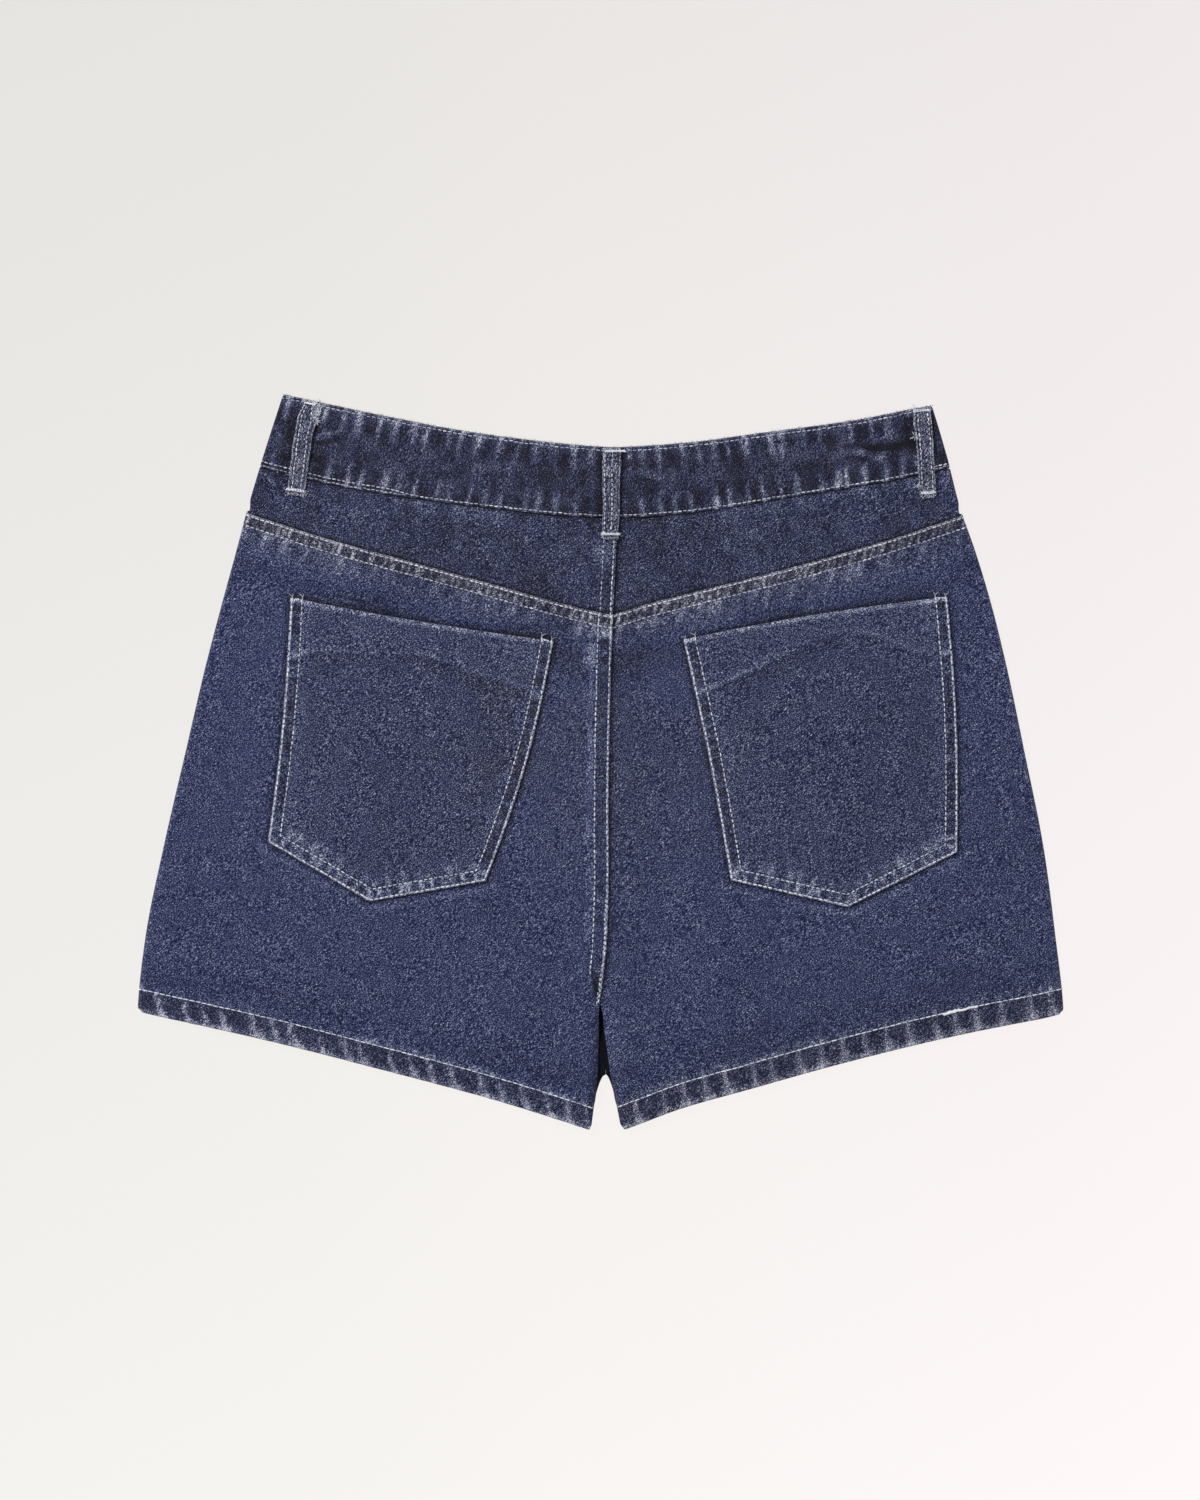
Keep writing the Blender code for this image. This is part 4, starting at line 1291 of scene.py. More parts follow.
def drawn_out(tree, angle, long, short):
    """Places in the cloth, counted in steps of long and short, in mm, along a direction and
    across it."""
    place = node(tree, "ShaderNodeTexCoord").outputs["Object"]
    inputs = {"Vector": place, "Rotation": (0, 0, math.radians(angle)),
              "Scale": (long * MM, short * MM, short * MM)}
    made = node(tree, "ShaderNodeMapping", inputs, vector_type="TEXTURE")
    return made.outputs["Vector"]


def grain(tree, angle, long, short, detail):
    """Noise drawn out along a direction in the cloth."""
    place = drawn_out(tree, angle, long, short)
    made = node(tree, "ShaderNodeTexNoise", {"Vector": place, "Scale": 1.0, "Detail": detail})
    return made.outputs["Fac"]


def indigo(blue):
    """The shades of denim from deep indigo to bare yarn, by how much bluer than grey it is."""
    greens = (
        (0.0, 17, 0.9), (0.17, 40, 1), (0.34, 67, 1), (0.5, 93, 0.95), (0.7, 137, 0.7),
        (1.0, 202, 0.4),
    )
    red = 0.33 * max(blue - 15, 0)
    return [(place, (g - red * k, g, g + blue * k)) for place, g, k in greens]


def weave(tree, base, twill, speckle):
    """Pale weft specks in slanting wales: how pale each place is, and the specks alone."""
    specks = grain(tree, twill, 0.82, 0.53, 1.0)
    yarns = grain(tree, 90.0, 9.0, 0.7, 1.0)
    patches = grain(tree, 0.0, 9.0, 8.0, 2.0)
    slubs = grain(tree, twill, 4.0, 1.1, 1.0)
    turned = node(tree, "ShaderNodeSeparateXYZ", {"Vector": drawn_out(tree, twill, 4.0, 1.1)})
    across = maths(tree, "MULTIPLY_ADD", slubs, 2.2, turned.outputs["Y"])
    wales = maths(tree, "SINE", maths(tree, "MULTIPLY", across, 2 * math.pi))
    value = maths(tree, "MULTIPLY_ADD", specks, speckle, base - 0.5 * speckle)
    value = maths(tree, "MULTIPLY_ADD", wales, 0.10, value)
    value = stirred(tree, value, yarns, 0.16)
    return stirred(tree, value, patches, 0.09), specks


def greyness(tree, tone):
    """How much greyer the indigo is: in broad patches, round the centre back and where a piece
    says so, but not where it is worn."""
    broad = grain(tree, 20.0, 34.0, 22.0, 2.0)
    grey = maths(tree, "MULTIPLY_ADD", broad, 0.6, -0.40)
    place = node(tree, "ShaderNodeTexCoord").outputs["Object"]
    away = node(tree, "ShaderNodeVectorMath", {"Vector": place}, operation="LENGTH")
    centre = maths(tree, "MULTIPLY_ADD", away.outputs["Value"], -4.5, 0.45, clamp=True)
    grey = maths(tree, "ADD", grey, centre)
    grey = maths(tree, "MULTIPLY_ADD", tone, -4.5, grey, clamp=True)
    return maths(tree, "MAXIMUM", grey, attribute(tree, "grey"))


def denim(name, base, twill, blue, speckle):
    """Twill on indigo, shifted by the cloth's tone, which brings out its specks and wales; the tone
    is wear and painted shade.
    """
    made, tree = new_material(name, 0.88, sheen=0.06, specular=0.2)
    tone = attribute(tree, "tone")
    height, specks = weave(tree, base, twill, speckle)
    worn = maths(tree, "MULTIPLY_ADD", specks, 1.4, 0.3)
    value = maths(tree, "MULTIPLY_ADD", tone, worn, height)
    bluer, greyer = (colours(tree, value, indigo(share * blue)) for share in (1.02, 0.45))
    paint(tree, mixed(tree, greyness(tree, tone), bluer, greyer), height, 0.35, 0.25)
    return made


def inside_painted_shade():
    """The mostly hidden wrong side of the cloth, nearly black as painted shade where it shows in
    the slit.
    """
    made, tree = new_material("inside_painted_shade", 0.95, sheen=0.02, specular=0.1)
    specks = grain(tree, 138.0, 1.4, 0.8, 1.5)
    shades = ((0.3, (9, 10, 15)), (0.7, (24, 26, 37)))
    paint(tree, colours(tree, specks, shades), specks, 0.3, 0.2)
    return made


def thread_material():
    """Grey-blue sewing thread, here and there stained by the indigo."""
    made, tree = new_material("thread", 0.7, sheen=0.1)
    fibres = grain(tree, 60.0, 0.5, 0.2, 1.0)
    value = stirred(tree, attribute(tree, "tone"), grain(tree, 0.0, 6.0, 6.0, 2.0), 0.5)
    value = stirred(tree, value, fibres, 0.4)
    shades = (
        (0.0, (56, 62, 86)), (0.5, (145, 151, 169)), (0.8, (193, 198, 209)), (1.0, (242, 245, 248)),
    )
    paint(tree, colours(tree, value, shades), fibres, 0.4, 0.1)
    return made


def metal_material():
    """Brushed and slightly tarnished grey metal."""
    made, tree = new_material("button_metal", 0.36, specular=0.5, metallic=1.0)
    shades = ((0.3, (128, 124, 118)), (0.7, (196, 192, 184)))
    stains = grain(tree, 0.0, 3.0, 3.0, 3.0)
    paint(tree, colours(tree, stains, shades), grain(tree, 25.0, 4.0, 0.15, 2.0), 0.25, 0.05)
    return made


# ---------------------------------------------------------------- the pieces


def back_leg(side, word, materials):
    """A back leg, from the yoke's seam to its turned hem, folded round to the front."""
    hem_row = HEM_ROWS[side]
    rows = stops(
        *spaced("yoke", 0, (-0.15, 1), (-0.6, 0.3), (-YOKE_ROWS[0], 0.45), (-YOKE_ROWS[1], 0.78),
                (-13, 0.9), (-30, 1.4)),
        104,
        *spaced("hem", 28, (19, 1.5), (hem_row + 1, 0.9), (hem_row, 0.5), (4.5, 0.85),
                (HEM_START / MM, 0.4)),
    )
    near = [(0.15, 1), (0.5, 0.35), (CENTRE_ROWS[0], 0.6), (CENTRE_ROWS[1], 0.78), (15, 1.1)]
    if side > 0:
        near[2:] = [(1.1, 0.3), (3.5, 0.4), (15, 1.3)]
    columns = stops(*spaced("inner", 0, *near), 112, *OUTER_STOPS)
    points = panel(
        side, columns, rows, lambda y: middle_x(y, side),
        lambda x, y: leg_z(x, y, side), lambda x, y: leg_relief(x, y, side), leg_tail_z,
        inset=hem_corner, corner=SLIT_CORNERS[side],
    )
    turned_rows = len(rows) - line_at(rows, "hem", hem_row + 1) + 1
    made = Cloth(with_hem(points, side, turned_rows), side, CLOTH, rows, columns)
    x, y = made.points[..., 0], made.points[..., 1]
    shades = {"tone": leg_tone(x, y, side), "grey": leg_grey(x, y, side)}
    made.shell(f"back_leg_{word}", "back_leg", materials, f"front_leg_{word}", **shades)
    return made


def hem_corner(x, y):
    """How far the hem's outer corner is rounded off, at a height."""
    short = np.clip(HEM_CORNER - (y - edge_y("hem", x) - HEM_START), 0, HEM_CORNER)
    return HEM_CORNER - np.sqrt(HEM_CORNER**2 - short**2)


def yoke(side, word, materials):
    """One half of the back yoke, between the waistband and the legs."""
    rows = stops(
        *spaced("band_seam", -GAP / MM, (-0.6, 0.3), (-2, 0.7)), 26,
        *spaced("yoke", 4, (0, 1), (-YOKE_LAP / MM, 2.5)),
    )
    near = spaced("inner", 0, (0.15, 1), (0.5, 0.35), (YOKE_CENTRE_ROWS[0], 0.6),
                  (YOKE_CENTRE_ROWS[1], 0.78), (15, 1.2))
    columns = stops(*near, 96, *OUTER_STOPS)
    points = panel(
        side, columns, rows, lambda y: middle_x(y, side),
        lambda x, y: yoke_z(x, y, side), lambda x, y: yoke_relief(x, y, side), yoke_tail_z,
        inset=lambda x, y: yoke_tail_z(x, y) - CLOTH / 2,
    )
    made = Cloth(points, side, CLOTH, rows, columns)
    tone = yoke_tone(points[..., 0], points[..., 1], side)
    made.shell(f"yoke_{word}", "yoke", materials, f"front_leg_{word}", tone=tone)
    return made


def pocket_corners(word):
    """The corners of a pocket, from the mouth's outer end round."""
    return [MM * np.array(corner) for corner in POCKETS[word]]


def pocket_edges(word):
    """The four sewn sides of a pocket from the mouth's outer end round: start, end, bulge."""
    outer, inner, inner_base, point, outer_base = pocket_corners(word)
    _, outer_bow, inner_bow = BOWS[word]
    return [(outer, outer_base, outer_bow), (outer_base, point, 0.0), (point, inner_base, 0.0),
            (inner_base, inner, inner_bow)]


def past_line(x, y, start, end):
    """How far a place is along a line, and to the right of it."""
    run = unit(end - start)
    along = (x - start[0]) * run[0] + (y - start[1]) * run[1]
    return along, (x - start[0]) * run[1] - (y - start[1]) * run[0]


def pocket_share(x, word):
    """How far along its mouth a place is, from the outer end."""
    outer, inner = POCKETS[word][:2]
    return (x / MM - outer[0]) / (inner[0] - outer[0])


def pocket_places(x, y, word):
    """In mm: in from the nearest sewn edge, in from the lower ones, below the mouth, and how
    far below the edge of the facing. Then the place along the nearest edge, in metres."""
    side = SIDES_OF[word]
    away = []
    places = []
    for (start, end, bow), first in zip(pocket_edges(word), (-290, -140, -60, 20)):
        along, past = past_line(x, y, start, end)
        bowed = bow * bulge(along / np.hypot(*(end - start)))
        away.append((side * past + bowed) / MM)
        places.append(along + MM * first)
    place = np.choose(np.argmin(np.stack(away), axis=0), places)
    outer, inner = pocket_corners(word)[:2]
    share = pocket_share(x, word)
    _, past = past_line(x, y, inner, outer)
    mouth = (side * past + BOWS[word][0] * bulge(share)) / MM
    low = np.minimum(away[1], away[2])
    return np.minimum.reduce(away), low, mouth, mouth - read(FACINGS[word], share), place


def pocket_relief(x, y, word):
    """What stands above a pocket's even form."""
    sewn, low, mouth, past_facing, place = pocket_places(x, y, word)
    made = 0.08 * MM * (1 + noise(x, y, 19 * MM, 81))
    swell = 0.30 + 0.22 * pleats(place, 6.2 * MM, 1.5 * MM, 82) * ramp(low, 14, 7)
    made += sewn_channel(sewn, POCKET_ROWS, swell, 0.28)
    folds = pleats(place, 8.4 * MM, 2.2 * MM, 83)
    made += MM * 0.35 * folds * ramp(low, POCKET_ROWS[1], 8.5) * ramp(low, 17, 9)
    # the facing's step and edge, and the turned edge of the mouth
    free = 0.30 * ramp(past_facing, 2.5, -2.5) + 0.20 * bell(past_facing, 1.6)
    made += MM * ramp(sewn, 1.5, 9) * (free + 0.25 * bell(mouth - 1.2, 1.4))
    # where the facing ends inside the side channels it makes a lump
    return made + MM * 0.35 * bell(past_facing, 3.0) * channel(sewn, POCKET_ROWS)


def pocket_tone(x, y, word):
    """The wear of a pocket, with painted shade below its facing's edge."""
    sewn, low, mouth, past_facing, place = pocket_places(x, y, word)
    spots = blots(x, y, 1.7, 84)
    patchy = blots(x, y, 10, 85)
    tone = -0.025 + 0.015 * noise(x, y, 30 * MM, 86)
    tone += 0.46 * ramp(sewn, 2.2, 1.0) * (0.3 + 0.8 * spots)
    tone += 0.34 * ramp(mouth, 3.4, 1.6) * (0.2 + 0.7 * spots + 0.3 * patchy)
    # between the rows of stitches, and the folds inside them
    lower = ramp(low, 12, 7)
    between = band_window(sewn, 1.9, 6.3, 0.5)
    puckers = (0.46 * lower + 0.26) * pleats(place, 6.0 * MM, 1.4 * MM, 82, 0.2)
    tone += between * (-0.12 + 0.04 * lower + puckers * (0.3 + 0.9 * spots))
    tone += 0.36 * bell(past_facing, 2.6) * between * (0.5 + 0.6 * spots)
    inner = ramp(low, POCKET_ROWS[1] + 0.3, 8.0) * ramp(low, 16, 8.5)
    folds = pleats(place, 8.4 * MM, 2.2 * MM, 83)
    tone += inner * (-0.03 + 0.46 * folds * (0.3 + spots))
    tone += 0.08 * band_window(sewn, 7.4, 13, 1.5) * (1 - lower) * patchy
    # over the facing and on its edge, worn paler, and painted shade below it
    strength = read(FACING_WEAR_AND_SHADE[word], pocket_share(x, word))
    line = 0.34 * bell(past_facing + 0.9, 1.3) * strength
    facing = 0.03 * ramp(past_facing, 0.5, -1.5) * patchy
    facing += line * (0.3 + 0.7 * patchy) * (0.4 + 0.8 * spots)
    under = ramp(past_facing, -0.3, 0.8) * ramp(past_facing, 14, 2)
    facing -= 0.05 * (0.25 + 0.75 * patchy) * under
    facing -= 0.06 * strength * patchy * band_window(past_facing, 0.4, 2.4, 0.7)
    tone += ramp(sewn, 6.4, 8.0) * facing
    # worn to the pale yarn at the bottom corners
    for corner in pocket_corners(word)[2:]:
        away = np.hypot(x - corner[0], y - corner[1]) / MM
        tone += 0.13 * ramp(away, 7, 2) * (0.2 + 0.8 * spots)
    return tone


def pocket_z(x, y, word):
    """The middle of a pocket's cloth."""
    under = leg_z(x, y, SIDES_OF[word]) + soft_relief(x, y)
    return under + LAYER + GAP / 2 + pocket_relief(x, y, word)


def even_shares(length, step):
    """Shares of a length in even steps, with close lines near both ends. Steps are in mm."""
    near = [0, 0.15, 0.5, POCKET_ROWS[0], 1.7, 2.5, 3.4, 4.3, 5.2, 6.0, POCKET_ROWS[1], 7.5, 8.5]
    count = round((length / MM - 2 * near[-1]) / step)
    middle = np.linspace(near[-1], length / MM - near[-1], count + 1)[1:-1]
    whole = near + list(middle) + [length / MM - d for d in near[::-1]]
    return np.array(whole) * MM / length


def pocket(word, materials):
    """A patch pocket with turned edges and a facing folded in at its mouth."""
    side = SIDES_OF[word]
    outer, inner, inner_base, point, outer_base = pocket_corners(word)
    across = even_shares(np.hypot(*(outer - inner)), 1.5)[None, :, None]
    down = even_shares(np.hypot(*(outer - outer_base)), 1.5)[:, None, None]
    mouth = outer * (1 - across) + inner * across
    left = np.clip(across / POINT_SHARE, 0, 1)
    right = np.clip((across - POINT_SHARE) / (1 - POINT_SHARE), 0, 1)
    base = outer_base * (1 - left) + point * (left - right) + inner_base * right
    places = mouth * (1 - down) + base * down
    for bow, (start, end), share in zip(
        BOWS[word],
        ((inner, outer), (outer, outer_base), (inner_base, inner)),
        (bulge(across) * (1 - down), bulge(down) * (1 - across), bulge(down) * across),
    ):
        run = unit(end - start)
        places = places - bow * share * side * np.array((run[1], -run[0]))
    x, y = places[..., 0], places[..., 1]
    made = Cloth(np.stack([x, y, pocket_z(x, y, word)], axis=2), -side)
    tone = pocket_tone(x, y, word)
    made.shell(f"pocket_{word}", "pocket", materials, f"back_leg_{word}", tone=tone)


def front_crease(y, side):
    """The inner edge of a front leg: the seam, and the round arch where the legs part."""
    seam = ARCH_X * ramp(y, CROTCH, FRONT_CROTCH) + side * GAP / 12
    rest = np.clip(1 - (FRONT_CROTCH - y) / ARCH_DEPTH, 0, 1)
    opened = np.sqrt(1 - rest**2)
    return seam * (1 - opened) + (middle_x(y, side) + side * ROLL) * opened


def front_rows(hem):
    """The grid lines down a front panel to its own hem, close together round the arch."""
    arch = ((42, 1), (37, 1), (31, 0.2), (28, 0.5), (16, 1)) if hem == "hem" else ((24, 1), (16, 2))
    return stops(
        *spaced("band_seam", -GAP / MM, (-0.6, 0.3), (-3, 1.2)), 20,
        ("yoke", 0), 70, *spaced(hem, arch[0][0], *arch[1:], (HEM_ROW, 1), (HEM_START / MM, 1.1)),
    )


def front_panel(side, word, kind, materials):
    """A front leg of the shorts, or the half of the skirt that lies over it."""
    hem = EDGES_OF[kind]
    lap = -FRONT_LAP / 2 / MM

    def z(x, y):
        """The middle of its cloth."""
        if kind == "front_leg":
            return front_z(x, y)
        under = LAYER * (1 + skirt_hem_zone(x, y)) * front_lap(x) if side < 0 else 0
        return CLOTH / 2 + under + lift(x, y)

    def relief(x, y):
        """What stands above that."""
        above = (y - edge_y(hem, x)) / MM
        ropes = MM * 0.3 * ramp(above, 17, HEM_ROW) * hem_ropes(x, above)
        return ground(x, y) + (ropes if kind == "skirt_front" else 0)

    if kind == "front_leg":
        first = spaced("inner", 0, (0.4, 0.4), (1.2, 0.8), (6, 2.4))
    else:
        first = spaced("centre", lap, (lap + 0.5, 0.25), (lap + LAP_ROW, 1.2), (0, 2.2), (14, 2.2))
    columns = stops(*first, 84, *spaced("outer", -4, (-1, 1.5), (-0.3, 0.7), (0, 0.3)))
    rows = front_rows(hem)
    points = panel(
        side, columns, rows, lambda y: front_crease(y, side), z, relief, seam_gap=2.5 * GAP
    )
    turned_rows = len(rows) - line_at(rows, hem, HEM_ROW) + 1
    made = Cloth(with_hem(points, -side, turned_rows), -side, CLOTH, rows, columns)
    tone = front_tone(made.points[..., 0], made.points[..., 1], hem)
    under = f"skirt_front_{word}" if kind == "front_leg" else "button"
    made.shell(f"{kind}_{word}", kind, materials, under, tone=tone)
    return made


def waistband(materials):
    """The waistband ring: from its inner end at the centre front round the left side, across
    the back and round the right side to its outer end, under the inner one."""
    radius = (BAND_WALL + GAP) / 2
    lap = -FRONT_LAP / 2 / MM
    end = spaced("centre", lap, (lap + 0.5, 0.25), (lap + 1.5, 0.5), (-2, 2))
    half = stops(("centre", 0), 144, ("outer", -8 * MM), 5, ("outer", 0))
    front_half = stops(("centre", 0), 80, ("outer", -8 * MM), 3, ("outer", 0))
    front = [(line, math.pi) for line in stops(*end) + front_half]
    turn = [(half[-1], math.pi * k / TURN_STEPS) for k in range(1, TURN_STEPS)]
    back = [(line, 0.0) for line in half]
    ring = [(-1, *entry) for entry in front + turn[::-1] + back[::-1]]
    ring += [(1, *entry) for entry in back[1:] + turn + front[::-1]]
    sides, columns, angles = zip(*ring)
    sides, angles = np.array(sides), np.array(angles)
    turned = (1 - np.cos(angles)) / 2
    rows = stops(
        *spaced("waist", 0, (-0.15, 1), (-0.6, 0.3), (-1.2, 0.6), (-BAND_ROWS[0], 0.7), (-4, 0.9)),
        22, *spaced("band_seam", 4.4, (0.6, 0.38), (0.15, 0.3), (0, 1)),
    )
    x = np.zeros((len(rows), len(ring)))
    for _ in range(SOLVER_ROUNDS):
        y = row_heights(rows, x, turned)
        outline = np.where(sides < 0, side_x(y, -1), side_x(y, 1))
        stop_x = {"centre": 0 * y, "outer": outline - sides * (radius + BAND_WALL / 2)}
        flat_x = column_places(columns, stop_x, sides)
        x = flat_x + sides * radius * np.sin(angles)
    low = BAND_WALL / 2 + lift(flat_x, y)
    high = low + 2 * radius * (1 + front_lap(flat_x, BAND_LAP_SPREAD))
    lap = 2 * radius * ramp(flat_x, -27 * MM, -FRONT_LAP / 2 - 1 * MM)
    low = low + np.where(sides < 0, lap, 0)
    relief = band_relief(flat_x, y, turned)
    points = np.stack([x, y, low * turned + (high + relief) * (1 - turned)], axis=2)
    made = Cloth(points, 1, BAND_WALL, rows)
    made.back = slice(int(np.argmax(turned < 0.5)), len(ring) - int(np.argmax(turned[::-1] < 0.5)))
    tone = band_tone(x, y, turned)
    under = ("belt_loop_front_left", "belt_loop_front_right", "button")
    made.shell("waistband", "waistband", materials, *under, tone=tone)
    return made


LOOP_ACROSS = (-0.5, -0.485, *np.linspace(-0.45, 0.45, 23), 0.485, 0.5)


def back_loop_points(word):
    """A belt loop over the back of the waistband, its lower end on the yoke."""
    top_x, low_x, *rows, top_width, low_width, flare, nip, over, under = BACK_LOOPS[word]
    top_x, low_x, top_width, low_width, flare, nip = (
        MM * n for n in (top_x, low_x, top_width, low_width, flare, nip)
    )
    half = LOOP_WALL / 2
    band = float(edge_y("waist", top_x)) + over * MM
    seam = float(edge_y("band_seam", (top_x + low_x) / 2))
    length = band - seam + under * MM
    ends = np.array((0, 0.2, 0.6, 1.2, 2.0)) * MM / length
    down = np.concatenate([ends, np.linspace(ends[-1], 1 - ends[-1], 44)[1:-1], 1 - ends[::-1]])
    down = down[:, None]
    across = np.array(LOOP_ACROSS)[None]
    middle = top_x + (low_x - top_x) * down
    wobble = 0.35 * MM * noise(middle * 0, down, 0.22, 91 + len(word))
    width = top_width + (low_width - top_width) * down
    width = width * (1 + 0.05 * noise(middle * 0 + 1, down, 0.10, 95 + len(word)))
    rounded = 0.35 if word == "right" else 0.06
    width = width * (1 - rounded * ramp(down, 1 - 3 * MM / length, 1.0) ** 2)
    frayed = ramp(down, 0.0, 0.05) * ramp(down, 0.32, 0.17)
    frayed = frayed * (1 + 0.3 * noise(middle * 0 + 2, down, 0.03, 98))
    x = middle + wobble + width * across
    x = x + flare * frayed * ramp(across * np.sign(flare), 0.1, 0.5)
    x = x + nip * ramp(down, 0.2, 0.0) * ramp(across, 0.3, -0.5)
    y = band - length * down + (low_x - top_x) / length * width * across
    centre = middle + 0 * across
    on_band = (BAND_WALL + GAP) * (1 + front_lap(centre, BAND_LAP_SPREAD)) + BAND_WALL
    on_band += lift(centre, y) + band_relief(centre, y, 0.0)
    side = -1 if top_x < 10 * MM else 1
    on_yoke = back_z(centre, y) + CLOTH / 2 + (LAYER if word == "centre" else 0)
    on_yoke += yoke_relief(centre, y, side)
    share = ramp(y - seam, -8 * MM, -2 * MM)
    arch = LOOP_ARCH * ramp(down, 0.0, 0.3) * ramp(down, 0.9, 0.6)
    sunk = groove(across * LOOP_WIDTH / MM, *rows)
    z = on_band * share + on_yoke * (1 - share) + 1.5 * GAP + half + arch - 0.14 * MM * sunk
    z += 0.10 * MM * noise(x, y, 3 * MM, 97)
    return np.stack([x, y, z], axis=2), down


def front_loop_points(side):
    """A belt loop pressed flat between the front waistband and the surface."""
    x0 = side * FRONT_LOOP_X
    top = float(edge_y("waist", x0, 1)) - 0.2 * MM
    low = float(edge_y("band_seam", x0, 1)) - LOOP_BELOW_BAND
    down = np.concatenate([(0, 0.004, 0.015), np.linspace(0.03, 0.97, 30), (0.985, 0.996, 1)])
    across = np.array(LOOP_ACROSS)[None]
    x = x0 + LOOP_WIDTH * across + 0 * down[:, None]
    y = top + (low - top) * down[:, None] + 0 * across
    return np.stack([x, y, LOOP_WALL / 2 + 0 * x], axis=2)


def loop_tone(x_across, y, seed, rows=()):
    """Worn to the yarn along both edges and in patches, and dark beside the stitches."""
    edge = LOOP_WIDTH / 2 / MM - abs(x_across) / MM
    spots = blots(x_across, y, 1.3, seed)
    patchy = blots(x_across, y, 6, seed + 1)
    tone = 0.24 * patchy**2 * (0.2 + spots) + 0.44 * ramp(edge, 1.1, 0.3) * (0.1 + spots)
    tone -= 0.12 * band_window(edge, 1.0, 1.7, 0.4)
    for row in rows:
        tone -= 0.08 * bell(abs(x_across / MM - row) - 0.6, 0.6)
    return tone


def back_loop_tone(word, down, across, y, rows):
    """The wear of a back loop, with its worn ends."""
    tone = loop_tone(across + 0 * down, y, 101 + len(word), rows)
    tone += 0.30 * ramp(down, 0.035, 0.0) + 0.30 * ramp(down, 0.95, 1.0)
    if word == "left":
        return tone + 0.35 * ramp(across, 1.5 * MM, 3.5 * MM) * ramp(down, 0.26, 0.16)
    if word == "right":
        return tone + 0.14 * ramp(down, 0.25, 0.0)
    return tone - 0.05


def belt_loops(thread, materials):
    """All five loops, with their rows of stitches and bar tacks in one mesh."""
    across = np.array(LOOP_ACROSS)[None] * LOOP_WIDTH
    for word, (top_x, _, *rows) in BACK_LOOPS.items():
        rows = rows[:2]
        points, down = back_loop_points(word)
        cloth = Cloth(points, 1, LOOP_WALL)
        tone = back_loop_tone(word, down, across, points[..., 1], rows)
        under = ("waistband", "yoke_left" if top_x < 10 else "yoke_right")
        cloth.shell(f"belt_loop_back_{word}", "belt_loop", materials, *under, tone=tone)
        face, _ = cloth.line(slice(None))
        for row in rows:
            thread.sew(loop_line(face, cloth.out, row, 2, -3), *STITCHES["loop"])
        middle = face.shape[1] // 2
        for k, (off, share) in zip((4, -6), TACKS[word]):
            along = face[k, -1] - face[k, 0]
            width = np.linalg.norm(along)
            run = unit(face[k + 1, middle] - face[k - 1, middle])
            place = face[k, middle] + off * along
            thread.bar_tack(place, along / width, run, width * share, 1.0 * MM, 0.32)
    for word, side in SIDES_OF.items():
        points = front_loop_points(side)
        tone = loop_tone(points[..., 0] - side * FRONT_LOOP_X, points[..., 1], 111 + side)
        cloth = Cloth(points, -1, LOOP_WALL)
        cloth.shell(f"belt_loop_front_{word}", "belt_loop", materials, "waistband", tone=tone)


def loop_line(face, out, row, first, last):
    """A line down a loop, at a distance in mm from its middle."""
    places = np.array(LOOP_ACROSS) * LOOP_WIDTH / MM
    path = np.array([at_lengths(row, places, points) for points in face[first:last]])
    return path, out[first:last, out.shape[1] // 2]


def pocket_line(word, inset):
    """A row of stitches round a pocket, inset by a distance in mm from its sewn edges."""
    side = SIDES_OF[word]
    edges = pocket_edges(word)
    moved = []
    for start, end, _ in edges:
        run = unit(end - start)
        inward = side * np.array((run[1], -run[0])) * inset * MM
        moved.append((start + inward, end + inward))
    corners = [moved[0][0]]
    for (a, b), (c, d) in zip(moved, moved[1:]):
        u, v = b - a, d - c
        t = ((c - a)[0] * v[1] - (c - a)[1] * v[0]) / (u[0] * v[1] - u[1] * v[0])
        corners.append(a + u * t)
    corners.append(moved[-1][1])
    places = []
    for start, end, (_, _, bow) in zip(corners, corners[1:], edges):
        length = np.hypot(*(end - start))
        share = np.linspace(0, 1, int(length / MM), endpoint=False)[:, None]
        outward = -side * np.array((end[1] - start[1], start[0] - end[0])) / length
        places.append(start + (end - start) * share + bow * outward * bulge(share))
    x, y = np.concatenate([*places, corners[-1][None]]).T
    wander = 0.12 * MM * noise(x, y, 9 * MM, 121)
    path = np.stack([x + wander, y + wander, pocket_z(x, y, word) + CLOTH / 2], axis=1)
    return path, np.zeros_like(path) + (0, 0, 1)


def sew_pockets(thread):
    """The rows round both pockets, with bar tacks and thread ends at their mouths."""
    for word in POCKETS:
        lines = [pocket_line(word, inset) for inset in POCKET_ROWS]
        for (path, out), kind in zip(lines, ("pocket_edge", "pocket_inner")):
            thread.sew((path[1:-1], out[1:-1]), *STITCHES[kind])
        first, second = (path for path, _ in lines)
        for end in (1, -2):
            across = unit(second[end] - first[end])
            run = unit(first[end] - first[end + (3 if end > 0 else -3)])
            middle = (first[end] + second[end]) / 2
            thread.bar_tack(middle, across, run, 6.6 * MM, 1.3 * MM, 0.3)
            for corner, reach in ((first[end], 3.2), (second[end], 4.0)):
                for turn in (-0.5, 0.25):
                    tip = corner + MM * reach * (run + turn * across) + (0, 0, 0.2 * MM)
                    bend = corner + MM * 0.5 * reach * run + MM * 0.3 * across
                    thread.lay([corner, bend, tip], 0.17, 0.7, 4)


def sew_yoke(thread, legs):
    """Both rows of the yoke's seam. The left leg's go on over the right leg's start."""
    for side, cloth in legs.items():
        first = 0 if side < 0 else line_at(cloth.columns, "inner", 6)
        for row, kind in zip(YOKE_ROWS, ("yoke_edge", "yoke_inner")):
            thread.sew(cloth.row("yoke", -row, first, -2), *STITCHES[kind])


